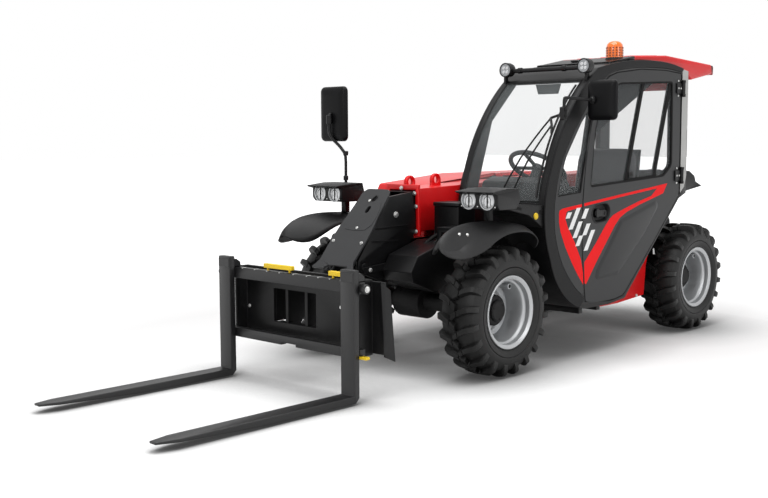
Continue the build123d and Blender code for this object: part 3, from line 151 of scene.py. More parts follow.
AMBER = material("amber_lens", (0.82, 0.15, 0.005), 0.16, mottle=0.1, mottle_scale=24, Coat_Weight=0.5,
                 Emission_Color=(1, 0.16, 0.0, 1), Emission_Strength=0.10)
AMBER_DARK = material("amber_dark", (0.22, 0.035, 0.002), 0.3, slot="amber_lens", mottle=0.1, mottle_scale=40)
MIRROR_SHELL = material("mirror_shell", (0.0045, 0.0045, 0.005), 0.36, slot="black_plastic", grain=0.4,
                        grain_scale=700, Specular_IOR_Level=0.1)
RED_LENS = material("red_lens", (0.55, 0.004, 0.004), 0.15, slot="red_paint", mottle=0.1, Coat_Weight=0.4)
LAMP = material("lamp_glass", (0.30, 0.31, 0.32), 0.2, metallic=0.75, mottle=0.1, mottle_scale=40)
LENS = material("lamp_bright", (0.62, 0.63, 0.64), 0.12, slot="lamp_glass", metallic=0.35, mottle=0.04,
                mottle_scale=60, Coat_Weight=0.6)
MAT = material("rubber_mat", (0.010, 0.010, 0.010), 0.8, mottle=0.2, grain=1.0, grain_scale=120)
FABRIC = material("seat_fabric", (0.020, 0.020, 0.022), 0.85, mottle=0.2, mottle_scale=30, grain=1.0,
                  grain_scale=420, Sheen_Weight=0.2)
YELLOW = material("yellow_paint", (0.78, 0.53, 0.02), 0.4, slot="amber_lens", mottle=0.06,
                  Specular_IOR_Level=0.3)
PALE = material("pale_steel", (0.42, 0.42, 0.41), 0.5, slot="rim_silver", metallic=0.3, mottle=0.1, grain=0.3)
# Painted reflection: the panes' pale base colours show as a faint whitish haze that stands in for reflection,
# as well as their tint.
CLEAR_TINT_AND_PAINTED_HAZE = glass("clear_glass", (0.55, 0.60, 0.61), 0.06)
DOOR_TINT_AND_PAINTED_HAZE = glass("door_tint_and_painted_haze", (0.30, 0.32, 0.33), 0.12)
MIRROR = material("mirror_face", (0.8, 0.82, 0.83), 0.03, slot="lamp_glass", metallic=1.0, mottle=0.01)


# ---- shaping ---------------------------------------------------------------------------------
def at(axis, a, b, depth):
    """The point with the two coordinates a and b left over by an axis, and depth on it."""
    point = [a, b]
    point.insert("xyz".index(axis), depth)
    return Vector(point)


def rounded(outline, radius, steps=5):
    """The outline with round corners; a point may carry its own radius as a third number."""
    done = []
    count = len(outline)
    for i, point in enumerate(outline):
        before, here, after = (Vector(outline[k % count][:2]) for k in (i - 1, i, i + 1))
        own = point[2] if len(point) > 2 else radius
        u, v = (before - here).normalized(), (after - here).normalized()
        angle = u.angle(v)
        if own <= 0 or angle > 3.1:
            done.append(tuple(here))
            continue
        reach = min(own / tan(angle / 2), 0.49 * (before - here).length, 0.49 * (after - here).length)
        own = reach * tan(angle / 2)
        centre = here + (u + v).normalized() * (own / sin(angle / 2))
        first, last = here + u * reach - centre, here + v * reach - centre
        start = atan2(first.y, first.x)
        turn = (atan2(last.y, last.x) - start + pi) % (2 * pi) - pi
        for k in range(steps + 1):
            done.append((centre.x + own * cos(start + turn * k / steps),
                         centre.y + own * sin(start + turn * k / steps)))
    return done


def loft(rings, caps=True, wrap=False, bm=None):
    """Skin over rings of as many points each; wrap joins the last ring to the first."""
    bm = bm or bmesh.new()
    rows = [[bm.verts.new(p) for p in ring] for ring in rings]
    for a, b in zip(rows, rows[1:] + rows[:1] if wrap else rows[1:]):
        for i in range(len(a)):
            j = (i + 1) % len(a)
            bm.faces.new((a[i], a[j], b[j], b[i]))
    if caps and not wrap:
        bm.faces.new(rows[0])
        bm.faces.new(rows[-1])
    return bm


def rect(a0, b0, a1, b1):
    """A rectangle's outline, from its low corner along the first axis."""
    return [(a0, b0), (a1, b0), (a1, b1), (a0, b1)]


def prism(outline, axis, low, high, bm=None):
    """The outline, on the two axes left over, carried along axis from low to high."""
    return loft([[at(axis, a, b, depth) for a, b in outline] for depth in (low, high)], bm=bm)


def box(low, high, bm=None):
    return prism(rect(*low[:2], *high[:2]), "z", low[2], high[2], bm)


def lathe(profile, centre, axis, steps=72, bm=None):
    """A closed (radius, distance along the axis) profile turned round an axis through centre."""
    rings = []
    for k in range(steps):
        a = 2 * pi * k / steps
        rings.append([Vector(centre) + at(axis, r * cos(a), r * sin(a), w) for r, w in profile])
    bm = loft(rings, wrap=True, bm=bm)
    bmesh.ops.remove_doubles(bm, verts=bm.verts, dist=1e-6)
    return bm


def smooth_path(points, steps=6):
    """Points along a smooth curve through the given ones."""
    points = [Vector(p) for p in points]
    ends = [points[0] * 2 - points[1], *points, points[-1] * 2 - points[-2]]
    done = []
    for a, b, c, d in zip(ends, ends[1:], ends[2:], ends[3:]):
        for k in range(steps):
            t = k / steps
            done.append(0.5 * (2 * b + (c - a) * t + (2 * a - 5 * b + 4 * c - d) * t ** 2
                               + (3 * b - a - 3 * c + d) * t ** 3))
    return [*done, points[-1]]


def tube(path, radius, sides=14, bm=None):
    """A round bar along a path of points."""
    path = [Vector(p) for p in path]
    ahead = [(b - a).normalized() for a, b in zip(path, path[1:])]
    across = ahead[0].orthogonal().normalized()
    rings = []
    for i, point in enumerate(path):
        before, after = ahead[max(0, i - 1)], ahead[min(i, len(ahead) - 1)]
        along = (before + after).normalized()
        across = (across - along * across.dot(along)).normalized()
        up = along.cross(across)
        own = radius / max(0.5, along.dot(after))
        rings.append([point + (across * cos(2 * pi * k / sides) + up * sin(2 * pi * k / sides)) * own
                      for k in range(sides)])
    return loft(rings, bm=bm)


def disc(centre, direction, radius, depth, sides=24, chamfer=0.0, bm=None):
    """A short round or six-sided boss standing on centre along direction."""
    direction = Vector(direction).normalized()
    across = direction.orthogonal().normalized()
    up = direction.cross(across)
    rings = []
    for r, d in ((radius, 0), (radius, depth - chamfer), (radius - chamfer, depth)):
        rings.append([Vector(centre) + direction * d + (across * cos(2 * pi * k / sides)
                      + up * sin(2 * pi * k / sides)) * r for k in range(sides)])
    return loft(rings if chamfer else rings[:2], bm=bm)


def bolt(centre, direction, radius, bm):
    """A hexagon bolt head on its washer."""
    direction = Vector(direction).normalized()
    disc(centre, direction, radius * 1.35, radius * 0.22, 20, radius * 0.05, bm)
    disc(Vector(centre) + direction * radius * 0.2, direction, radius, radius * 0.75, 6, radius * 0.12, bm)


# ---- pieces ----------------------------------------------------------------------------------
def piece(name, bm, finish, body, bevel=0.0, segments=2, sharp=38, stands_for=(), solid=0.0, rounds=0):
    """One finished piece on a body, from a bmesh; solid thickens a skin and rounds subdivides it."""
    bmesh.ops.recalc_face_normals(bm, faces=bm.faces)
    mesh = bpy.data.meshes.new(name)
    bm.to_mesh(mesh)
    bm.free()
    made = bpy.data.objects.new(name, mesh)
    bpy.context.scene.collection.objects.link(made)
    for m in finish if isinstance(finish, (list, tuple)) else [finish]:
        mesh.materials.append(m)
    mesh.shade_smooth()
    if solid:
        shell = made.modifiers.new("thickness", "SOLIDIFY")
        shell.thickness = solid
        shell.offset = -1
    if rounds:
        made.modifiers.new("rounds", "SUBSURF").levels = rounds
        made.modifiers["rounds"].render_levels = rounds
    elif bevel:
        edge = made.modifiers.new("edges", "BEVEL")
        edge.width = bevel
        edge.segments = segments
        edge.limit_method = "ANGLE"
        edge.angle_limit = radians(sharp)
        edge.harden_normals = True
        edge.use_clamp_overlap = False
    else:
        mesh.set_sharp_from_angle(angle=radians(sharp))
    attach(made, body)
    if stands_for:
        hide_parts(*stands_for)
    return made


def node_shape(name):
    """A CAD node's own shape, with its flat faces whole."""
    bm = bmesh.new()
    bm.from_mesh(frame["nodes"][name].data)
    bmesh.ops.remove_doubles(bm, verts=bm.verts, dist=2e-5)
    bmesh.ops.dissolve_limit(bm, angle_limit=radians(0.6), verts=bm.verts, edges=bm.edges)
    return bm


def dress(name, finish, bevel=0.003):
    """A piece with a CAD node's own shape and its edges rounded, which stands for the node."""
    return piece(name + "_dressed", node_shape(name), finish, BODY[name], bevel, stands_for=[name])


def keep(name, finish):
    """A CAD node that shows as it is, in its finish."""
    mesh = frame["nodes"][name].data
    mesh.materials.clear()
    mesh.materials.append(finish)


def plate(outline, holes, axis, low, high, bm=None):
    """The outline with holes through it, carried along axis from low to high."""
    bm = bm or bmesh.new()
    edges = []
    for loop in (outline, *holes):
        ring = [bm.verts.new(at(axis, a, b, low)) for a, b in loop]
        edges += [bm.edges.new((p, q)) for p, q in zip(ring, ring[1:] + ring[:1])]
    filled = bmesh.ops.triangle_fill(bm, edges=edges, use_beauty=True, use_dissolve=False)
    faces = [g for g in filled["geom"] if isinstance(g, bmesh.types.BMFace)]
    grown = bmesh.ops.extrude_face_region(bm, geom=faces)
    moved = [g for g in grown["geom"] if isinstance(g, bmesh.types.BMVert)]
    bmesh.ops.translate(bm, verts=moved, vec=at(axis, 0, 0, high - low))
    return bm


def inset(outline, by):
    """The outline's points moved inward; the outline may run either way round."""
    area = sum(a[0] * b[1] - b[0] * a[1] for a, b in zip(outline, [*outline[1:], outline[0]]))
    sense = 1 if area > 0 else -1
    moved = []
    for i, here in enumerate(outline):
        here, before = Vector(here), Vector(outline[i - 1])
        after = Vector(outline[(i + 1) % len(outline)])
        u, v = (here - before).normalized(), (after - here).normalized()
        n = (Vector((-u.y, u.x)) * sense, Vector((-v.y, v.x)) * sense)
        middle = (n[0] + n[1]).normalized()
        moved.append(here + middle * (by / max(0.4, middle.dot(n[0]))))
    return moved


def arc(start, middle, end, steps=10):
    """Points after start on the circle through the three, up to end."""
    (ax, ay), (bx, by), (cx, cy) = start, middle, end
    d = 2 * (ax * (by - cy) + bx * (cy - ay) + cx * (ay - by))
    a2, b2, c2 = ax * ax + ay * ay, bx * bx + by * by, cx * cx + cy * cy
    ux = (a2 * (by - cy) + b2 * (cy - ay) + c2 * (ay - by)) / d
    uy = (a2 * (cx - bx) + b2 * (ax - cx) + c2 * (bx - ax)) / d
    radius = ((ax - ux) ** 2 + (ay - uy) ** 2) ** 0.5
    first, last = atan2(ay - uy, ax - ux), atan2(cy - uy, cx - ux)
    turn = (last - first + pi) % (2 * pi) - pi
    return [(ux + radius * cos(first + turn * k / steps), uy + radius * sin(first + turn * k / steps))
            for k in range(1, steps + 1)]


def slot_outline(centre, length, width, lean=0.0, steps=12):
    """An oval with straight sides, length long, leaning from the first axis."""
    half, r = length / 2 - width / 2, width / 2
    points = [(half + r * cos(a), r * sin(a)) for a in [-pi / 2 + pi * k / steps for k in range(steps + 1)]]
    points += [(-x, -y) for x, y in points]
    c, s = cos(lean), sin(lean)
    return [(centre[0] + x * c - y * s, centre[1] + x * s + y * c) for x, y in points]


# ---- CAD nodes that keep their shape ---------------------------------------------------------
TILT_PIN = Vector((0.640, 0, 0.628))
TILT_PIN_RADIUS = 0.025
BORE_EASE = 0.0004              # keeps the flats of the tilt pin off those of its bores as it turns
COUPLER_BARS_X = 1.150          # behind this the coupler is darker than its bars

for name, finish, width in (
        ("front_axle", CAST, 0.004), ("rear_axle", CAST, 0.004), ("chassis_frame", BLACK, 0.002),
        ("nose", BLACK, 0.006), ("rear_weight", CHARCOAL, 0.008), ("tank", PLASTIC, 0.010),
        ("hood_bulkhead", BLACK, 0.002), ("boom_outer", RED, 0.004), ("boom_inner", BLACK, 0.003),
        ("carriage", FORK_PAINT, 0.0025), ("fork_locks", YELLOW, 0.003), ("left_fork", FORK_PAINT, 0.004),
        ("right_fork", FORK_PAINT, 0.004), ("lift_barrel", BLACK, 0.003), ("tilt_barrel", BLACK, 0.003),
        ("lift_rod", CHROME, 0.002), ("tilt_rod", CHROME, 0.002), ("engine_hood", RED, 0.012),
        ("cab", BLACK, 0.003), ("side_panel", RED, 0.005), ("rear_cowl", PLASTIC, 0.008),
        ("rear_lamps", RED_LENS, 0.006), ("seat_base", PLASTIC, 0.006), ("dashboard", PLASTIC, 0.01),
        ("fender_arms", BLACK, 0.003), ("left_lamp_housing", PLASTIC, 0.004),
        ("right_lamp_housing", PLASTIC, 0.004)):
    dress(name, finish, width)
for name, finish in (
        ("engine", CAST), ("cab_floor", MAT), ("windshield", CLEAR_TINT_AND_PAINTED_HAZE), ("rear_glass", CLEAR_TINT_AND_PAINTED_HAZE),
        ("quarter_glass", CLEAR_TINT_AND_PAINTED_HAZE), ("right_glass", CLEAR_TINT_AND_PAINTED_HAZE), ("door_glass", DOOR_TINT_AND_PAINTED_HAZE), ("steering_wheel", PLASTIC)):
    keep(name, finish)

for vert in bpy.data.objects["boom_inner_dressed"].data.vertices:
    arm = Vector((vert.co.x - TILT_PIN.x, 0, vert.co.z - TILT_PIN.z))
    if arm.length < TILT_PIN_RADIUS + BORE_EASE:
        vert.co += arm.normalized() * BORE_EASE
coupler = bpy.data.objects["carriage_dressed"].data
coupler.materials.append(BLACK)
for face in coupler.polygons:
    if face.center.x < COUPLER_BARS_X:
        face.material_index = 1


# ---- wheels ----------------------------------------------------------------------------------
AXLE_Z = 0.380
TRACK_HALF = 0.613
WHEELS = [(f"{end}_{hand}", x, side) for end, x in (("front", 0.160), ("rear", -2.000))
          for hand, side in SIDES]
LUGS = 20                       # a side
LUG_TOP, LUG_FOOT = 0.0155, 0.0235      # half a lug's width along the tread
LUG_ROWS = (                    # across the tyre, radius of the top, the same of the foot, turn
    (-0.012, 0.3795, -0.012, 0.348, 0.000), (0.022, 0.3795, 0.022, 0.348, 0.058),
    (0.026, 0.3795, 0.026, 0.348, 0.065), (0.060, 0.3785, 0.060, 0.346, 0.115),
    (0.092, 0.3755, 0.090, 0.341, 0.143), (0.114, 0.3690, 0.106, 0.333, 0.152),
    (0.1265, 0.3560, 0.112, 0.322, 0.156), (0.1310, 0.3350, 0.117, 0.308, 0.160),
    (0.1305, 0.3060, 0.124, 0.293, 0.166))
CARCASS = (                     # half of the tyre's section: radius, distance from the middle plane
    (0.353, 0.0), (0.352, 0.045), (0.346, 0.088), (0.334, 0.112), (0.315, 0.1235), (0.292, 0.1295),
    (0.272, 0.1315), (0.262, 0.1300), (0.258, 0.1318), (0.240, 0.1285), (0.224, 0.1190), (0.219, 0.1215),
    (0.2155, 0.1180), (0.2135, 0.1120), (0.196, 0.1120))


def tyre(name, axle_x, side):
    """A ring of the carcass's section and its lugs, those of one half set between those of the other."""
    centre = Vector((axle_x, side * TRACK_HALF, AXLE_Z))
    section = [*CARCASS, (0.196, 0.09), (0.30, 0.08), (0.33, 0.0)]
    ring = [(r, w) for r, w in section] + [(r, -w) for r, w in reversed(section[1:-1])]
    bm = lathe(ring, centre, "y", 120)
    pitch = 2 * pi / LUGS
    for hand in (1, -1):
        for k in range(LUGS):
            start = k * pitch + (pitch / 2 if hand < 0 else 0)
            for rows in (LUG_ROWS[:2], LUG_ROWS[2:]):
                loft([lug_section(centre, hand, start, *row) for row in rows], bm=bm)
    piece(name + "_lugged_tyre", bm, TYRE, BODY[name + "_tyre"], 0.0022, 1, 32, stands_for=[name + "_tyre"])


def lug_section(centre, hand, start, top_w, top_r, foot_w, foot_r, lead):
    """The four corners of a lug's section: its foot, its top and its foot again."""
    half_top, half_foot = LUG_TOP / top_r, LUG_FOOT / foot_r
    corners = ((-half_foot, foot_w, foot_r), (-half_top, top_w, top_r), (half_top, top_w, top_r),
               (half_foot, foot_w, foot_r))
    ring = []
    for shift, w, r in corners:
        a = start + lead + shift
        ring.append(centre + Vector((r * cos(a), hand * w, r * sin(a))))
    return ring


RIM_SECTION = (                 # radius, distance outward from the tyre's middle plane
    (0.2020, 0.1210), (0.2080, 0.1235), (0.2130, 0.1215), (0.2135, 0.1140), (0.1950, 0.1130),
    (0.1940, 0.0880), (0.1990, 0.0850), (0.1940, 0.0820), (0.1790, 0.0700), (0.1780, -0.0700),
    (0.1940, -0.0860), (0.1950, -0.1130), (0.2135, -0.1140), (0.2130, -0.1210), (0.2080, -0.1230),
    (0.1880, -0.1130), (0.1870, -0.0900), (0.1720, -0.0740), (0.1710, 0.0620), (0.1760, 0.0740),
    (0.1860, 0.0810), (0.1880, 0.0860), (0.1870, 0.0920), (0.1890, 0.1130))
DISC_SECTION = (                # the same, of the disc inside it
    (0.0600, -0.0480), (0.0600, -0.0560), (0.1130, -0.0560), (0.1260, -0.0440), (0.1500, -0.0400),
    (0.1720, -0.0560), (0.1720, -0.0480), (0.1520, -0.0310), (0.1250, -0.0350), (0.1110, -0.0480))


def rim(name, axle_x, side):
    centre = Vector((axle_x, side * TRACK_HALF, AXLE_Z))
    bm = lathe([(r, side * w) for r, w in RIM_SECTION], centre, "y", 96)
    lathe([(r, side * w) for r, w in DISC_SECTION], centre, "y", 96, bm=bm)
    body = BODY[name + "_rim"]
    piece(name + "_rim_shell", bm, SILVER, body, 0.0012, 1, 30, stands_for=[name + "_rim"])
    hub = lathe([(r, side * w) for r, w in (
        (0.001, 0.036), (0.055, 0.036), (0.062, 0.030), (0.064, 0.016), (0.083, 0.012), (0.090, 0.005),
        (0.092, -0.048), (0.001, -0.048))], centre, "y", 64)
    for k in range(3):
        a = 2 * pi * k / 3 + 0.4
        disc(centre + Vector((0.048 * cos(a), side * 0.036, 0.048 * sin(a))), (0, side, 0), 0.006, 0.004, 6,
             bm=hub)
    piece(name + "_hub", hub, CAST, body, 0.0015, 1, 30)
    nuts = bmesh.new()
    for k in range(8):
        a = 2 * pi * k / 8
        foot = centre + Vector((0.1025 * cos(a), side * -0.048, 0.1025 * sin(a)))
        bolt(foot, (0, side, 0), 0.010, nuts)
        disc(foot, (0, side, 0), 0.006, 0.024, 12, 0.001, nuts)
    piece(name + "_wheel_nuts", nuts, ZINC, body, 0.0)
    stub = Vector((axle_x - 0.048, side * (TRACK_HALF + 0.012), AXLE_Z + 0.142))
    guard = disc(stub, (0, side, 0), 0.0165, 0.062, 28, 0.002)
    piece(name + "_valve_guard", guard, SILVER, body, 0.001, 1)
    cap = disc(stub + Vector((0, side * 0.0615, 0)), (0, side, 0), 0.0115, 0.0012, 24)
    piece(name + "_valve_cap", cap, SEAL, body)


for name, axle_x, side in WHEELS:
    tyre(name, axle_x, side)
    rim(name, axle_x, side)
    dress(name + "_knuckle", CAST, 0.003)


# ---- front fenders ---------------------------------------------------------------------------
FENDER_STATIONS = (             # x, then y and z of the inner edge, both creases and the outer edge
    (0.690, 0.632, 0.772, 0.642, 0.782, 0.656, 0.773, 0.664, 0.762),
    (0.681, 0.605, 0.765, 0.639, 0.810, 0.672, 0.775, 0.690, 0.745),
    (0.660, 0.575, 0.748, 0.636, 0.833, 0.685, 0.768, 0.712, 0.733),
    (0.620, 0.545, 0.736, 0.633, 0.860, 0.692, 0.765, 0.733, 0.724),
    (0.570, 0.518, 0.738, 0.630, 0.880, 0.694, 0.768, 0.743, 0.724),
    (0.520, 0.500, 0.757, 0.628, 0.892, 0.693, 0.790, 0.745, 0.729),
    (0.450, 0.487, 0.793, 0.625, 0.901, 0.690, 0.823, 0.745, 0.742),
    (0.380, 0.485, 0.822, 0.622, 0.905, 0.688, 0.847, 0.745, 0.764),
    (0.310, 0.485, 0.840, 0.620, 0.905, 0.686, 0.863, 0.745, 0.800),
    (0.240, 0.485, 0.853, 0.618, 0.903, 0.685, 0.875, 0.745, 0.825),
    (0.170, 0.485, 0.864, 0.616, 0.900, 0.684, 0.881, 0.745, 0.838),
    (0.080, 0.485, 0.858, 0.616, 0.892, 0.684, 0.881, 0.745, 0.841),
    (0.000, 0.485, 0.843, 0.616, 0.878, 0.684, 0.870, 0.745, 0.831),
    (-0.060, 0.486, 0.815, 0.616, 0.852, 0.686, 0.847, 0.744, 0.806),
    (-0.092, 0.494, 0.780, 0.615, 0.818, 0.688, 0.814, 0.738, 0.776),
    (-0.106, 0.512, 0.748, 0.615, 0.778, 0.682, 0.774, 0.720, 0.746),
    (-0.112, 0.542, 0.728, 0.615, 0.752, 0.668, 0.748, 0.698, 0.728))
FENDER_SCREWS = ((0.533, 0.660, 0.852), (0.478, 0.672, 0.8465))


def blend_rows(rows, steps):
    """Rows of numbers between the given ones, along a smooth curve."""
    ends = [rows[0], *rows, rows[-1]]
    done = []
    for a, b, c, d in zip(ends, ends[1:], ends[2:], ends[3:]):
        for k in range(steps):
            t = k / steps
            done.append([0.5 * (2 * q + (r - p) * t + (2 * p - 5 * q + 4 * r - s) * t ** 2
                                + (3 * q - p - 3 * r + s) * t ** 3) for p, q, r, s in zip(a, b, c, d)])
    return [*done, list(rows[-1])]


def fender_line(y_in, z_in, y_a, z_a, y_b, z_b, y_out, z_out, steps=7):
    """y, z across the fender: a rounded inner side, a sloping top and a steeper outer side."""
    line = []
    for k in range(steps):
        t = k / steps
        line.append((y_in + (y_a - y_in) * t, z_in + (z_a - z_in) * (0.5 * t ** 0.7 + 0.5 * sin(pi / 2 * t))))
    for k in range(steps):
        t = k / steps
        line.append((y_a + (y_b - y_a) * t, z_a + (z_b - z_a) * (0.35 * t + 0.65 * t * t)))
    for k in range(steps + 1):
        t = k / steps
        line.append((y_b + (y_out - y_b) * t, z_b + (z_out - z_b) * (0.75 * t + 0.25 * t * t)))
    return line


def fender(hand, side):
    bm = bmesh.new()
    grid = []
    for x, *row in blend_rows(FENDER_STATIONS, 4):
        grid.append([bm.verts.new((x, side * y, z)) for y, z in fender_line(*row)])
    for a, b in zip(grid, grid[1:]):
        for i in range(len(a) - 1):
            bm.faces.new((a[i], a[i + 1], b[i + 1], b[i]))
    piece(hand + "_fender_shell", bm, FENDER, "chassis", sharp=22, solid=0.006,
          stands_for=[hand + "_fender"])
    screws = bmesh.new()
    for x, y, z in FENDER_SCREWS:
        disc((x, side * y, z - 0.006), (0.35, side * 0.35, 1), 0.009, 0.010, 20, 0.002, screws)
    piece(hand + "_fender_screws", screws, ZINC, "chassis")


for hand, side in SIDES:
    fender(hand, side)


# ---- cab: pillar, side panel and door --------------------------------------------------------
CAB_SIDE = 0.710                # the cab's left face
CAB_FRONT_ARCS = (              # x, z: start, middle and end of each arc up the front and over the roof
    ((-0.638, 0.306), (-0.349, 0.462), (-0.251, 0.644)), ((-0.251, 0.644), (-0.190, 0.929), (-0.251, 1.180)),
    ((-0.251, 1.180), (-0.434, 1.519), (-0.736, 1.799)), ((-0.736, 1.799), (-1.120, 1.862), (-1.416, 1.873)),
    ((-1.416, 1.873), (-1.600, 1.866), (-1.790, 1.838)))
FRONT_EDGE = [CAB_FRONT_ARCS[0][0], *[p for a in CAB_FRONT_ARCS for p in arc(*a, steps=14)]]
PILLAR_INNER = smooth_path([(-0.625, 0.372), (-0.497, 0.463), (-0.371, 0.607), (-0.300, 0.765),
                            (-0.281, 0.905), (-0.291, 1.019), (-0.322, 1.152), (-0.384, 1.280),
                            (-0.476, 1.405), (-0.600, 1.550), (-0.720, 1.668), (-0.832, 1.752),
                            (-0.960, 1.797), (-1.250, 1.828), (-1.560, 1.833), (-1.764, 1.818)], 5)
DOOR_FRONT = smooth_path([(-0.628, 0.352), (-0.604, 0.520), (-0.586, 0.700), (-0.583, 0.860), (-0.593, 1.040),
                          (-0.618, 1.230), (-0.660, 1.420), (-0.722, 1.590), (-0.800, 1.715)], 5)
DOOR_REST = ((-0.864, 1.758), (-0.960, 1.785), (-1.250, 1.818), (-1.560, 1.822), (-1.758, 1.808),
             (-1.766, 1.790), (-1.768, 1.000), (-1.758, 0.965), (-1.440, 0.672), (-1.100, 0.372),
             (-1.060, 0.345), (-0.980, 0.332), (-0.900, 0.328), (-0.700, 0.332))
DOOR_EDGE = [*[tuple(p) for p in DOOR_FRONT], *DOOR_REST]
WINDOW = rounded([(-0.666, 1.064, 0.02), (-1.553, 1.107, 0.08), (-1.663, 1.179, 0.06), (-1.655, 1.750, 0.03),
                  (-1.000, 1.722, 0.10), (-0.830, 1.660, 0.15), (-0.715, 1.440, 0.2)], 0.03)
QUARTER_WINDOW = rounded([(-0.316, 1.020, 0.01), (-0.392, 1.250, 0.3), (-0.560, 1.470, 0.3),
                          (-0.690, 1.590, 0.02), (-0.640, 1.330, 0.3), (-0.596, 1.180, 0.2),
                          (-0.566, 1.036, 0.01)], 0.02)
HANDLE_RECESS = slot_outline((-0.793, 0.900), 0.205, 0.118, -0.06)
PRESSING = ((-1.015, 0.846), (-1.560, 0.978), (-1.330, 0.742), (-1.000, 0.490), (-0.722, 0.475),
            (-0.745, 0.545))

band = prism([*inset(FRONT_EDGE, -0.004)[2:], *reversed(PILLAR_INNER)], "y", CAB_SIDE - 0.012,
             CAB_SIDE + 0.006)
piece("pillar_band", band, CHARCOAL, BODY["cab"], 0.0055, 3, 30)
seam = [p for p in DOOR_FRONT if p[1] < 1.64]
front_line = [p for p in PILLAR_INNER if 0.40 < p[1] < 1.640 and p[0] > -0.72]
side_panel = plate([(p[0] + 0.007, p[1]) for p in seam[2:]] + [(p[0] - 0.007,
                                                                p[1]) for p in reversed(front_line)],
                   [QUARTER_WINDOW], "y", CAB_SIDE - 0.004, CAB_SIDE + 0.0025)
piece("side_panel_front", side_panel, CAB_SHELL, BODY["cab"], 0.002)
piece("pillar_seal", tube([(x, CAB_SIDE - 0.001, z) for x, z in PILLAR_INNER], 0.0042, 8), SEAL, BODY["cab"])
glazing = plate(inset(QUARTER_WINDOW, -0.004), [inset(QUARTER_WINDOW, 0.006)], "y", CAB_SIDE - 0.006,
                CAB_SIDE + 0.0015)
piece("quarter_window_seal", glazing, SEAL, BODY["cab"], 0.0015)

panel = plate(inset(DOOR_EDGE, 0.0045), [WINDOW, HANDLE_RECESS], "y", CAB_SIDE - 0.040, CAB_SIDE + 0.0025)
piece("door_skin", panel, CAB_SHELL, BODY["door"], 0.0035, 3, 30, stands_for=["door"])
piece("door_edge_seal", tube([(x, CAB_SIDE - 0.006, z) for x, z in [*DOOR_EDGE, DOOR_EDGE[0]]], 0.006, 8),
      SEAL, BODY["door"])
shallow = loft([[(x, CAB_SIDE + y, z) for x, z in rounded(inset(PRESSING, by), r)]
                for by, y, r in ((0.0, 0.0, 0.034), (0.003, 0.0026, 0.032), (0.022, 0.0095, 0.024),
                                 (0.030, 0.0108, 0.02))])
piece("door_pressing", shallow, CAB_SHELL, BODY["door"], 0.002, 2, 12)

frame_rail = plate(inset(WINDOW, -0.010), [inset(WINDOW, 0.012)], "y", CAB_SIDE - 0.030, CAB_SIDE + 0.0008)
piece("door_window_seal", frame_rail, SEAL, BODY["door"], 0.0025)
bars = bmesh.new()
for top, foot, width, out in (((-1.289, 1.742), (-1.088, 1.086), 0.017, -0.004),
                              ((-1.640, 1.752), (-1.441, 1.104), 0.019, -0.006)):
    prism([(top[0] - width, top[1]), (top[0] + width, top[1]), (foot[0] + width, foot[1]),
           (foot[0] - width, foot[1])],
          "y", CAB_SIDE - 0.024, CAB_SIDE + out, bars)
prism([(-1.070, 1.088), (-1.440, 1.105), (-1.444, 1.122), (-1.076, 1.105)], "y", CAB_SIDE - 0.022,
      CAB_SIDE - 0.004, bars)
piece("sliding_pane_bars", bars, SEAL, BODY["door"], 0.0025)
catch = prism(rounded([(-1.113, 1.112), (-1.168, 1.114), (-1.166, 1.150), (-1.113, 1.148)], 0.006), "y",
              CAB_SIDE - 0.012, CAB_SIDE + 0.004)
disc((-1.140, CAB_SIDE + 0.003, 1.132), (0, 1, 0), 0.009, 0.006, 20, 0.002, catch)
piece("sliding_pane_catch", catch, PLASTIC, BODY["door"], 0.002)

dish = loft([[(x, CAB_SIDE + y, z) for x, z in inset(HANDLE_RECESS, by)]
             for by, y in ((-0.004, 0.0025), (-0.003, 0.0050), (0.003, 0.0050), (0.007, -0.004),
                           (0.013, -0.024), (0.024, -0.028))], caps=False)
dish.faces.new(list(dish.verts)[-len(HANDLE_RECESS):])
piece("handle_dish", dish, PLASTIC, BODY["door"], 0.0, sharp=40)
paddle = prism(rounded([(-0.735, 0.878), (-0.868, 0.872), (-0.868, 0.915), (-0.735, 0.921)], 0.018), "y",
               CAB_SIDE - 0.018, CAB_SIDE - 0.003)
prism(rounded([(-0.742, 0.872), (-0.775, 0.871), (-0.775, 0.927), (-0.742, 0.928)], 0.012), "y",
      CAB_SIDE - 0.022, CAB_SIDE + 0.002, paddle)
disc((-0.845, CAB_SIDE - 0.004, 0.895), (0, 1, 0), 0.011, 0.004, 24, 0.0015, paddle)
piece("handle_paddle", paddle, BLACK, BODY["door"], 0.004, 3, stands_for=["door_handle"])

# the red vee, in its two halves either side of the door's front gap, and the white bars inside it
VEE_PANEL = ((-0.334, 0.922), (-0.342, 0.938), (-0.370, 0.947), (-0.405, 0.951), (-0.576, 0.966),
             (-0.577, 0.948), (-0.425, 0.930), (-0.410, 0.920), (-0.401, 0.884), (-0.427, 0.832),
             (-0.500, 0.738), (-0.573, 0.622), (-0.597, 0.540), (-0.602, 0.462), (-0.541, 0.528),
             (-0.476, 0.609), (-0.404, 0.712), (-0.353, 0.806), (-0.336, 0.866))
VEE_DOOR = ((-0.603, 0.969), (-1.009, 1.007), (-1.461, 1.047), (-1.603, 1.060), (-1.550, 0.994),
            (-1.400, 0.962), (-1.254, 0.932), (-1.092, 0.890), (-1.013, 0.858), (-0.955, 0.812),
            (-0.742, 0.588), (-0.633, 0.462), (-0.618, 0.470), (-0.610, 0.600), (-0.729, 0.705),
            (-0.849, 0.822), (-0.890, 0.856), (-0.934, 0.880), (-1.051, 0.911), (-1.253, 0.956),
            (-1.395, 0.982), (-1.470, 1.030), (-1.009, 0.990), (-0.603, 0.951))
HATCH = (                       # x, z of each white bar's middle, its length and the body it is on
    (-0.437, 0.903, 0.036, "cab"), (-0.500, 0.880, 0.128, "cab"), (-0.533, 0.810, 0.098, "cab"),
    (-0.552, 0.740, 0.062, "cab"), (-0.614, 0.905, 0.060, "door"), (-0.630, 0.806, 0.070, "door"),
    (-0.664, 0.736, 0.124, "door"))
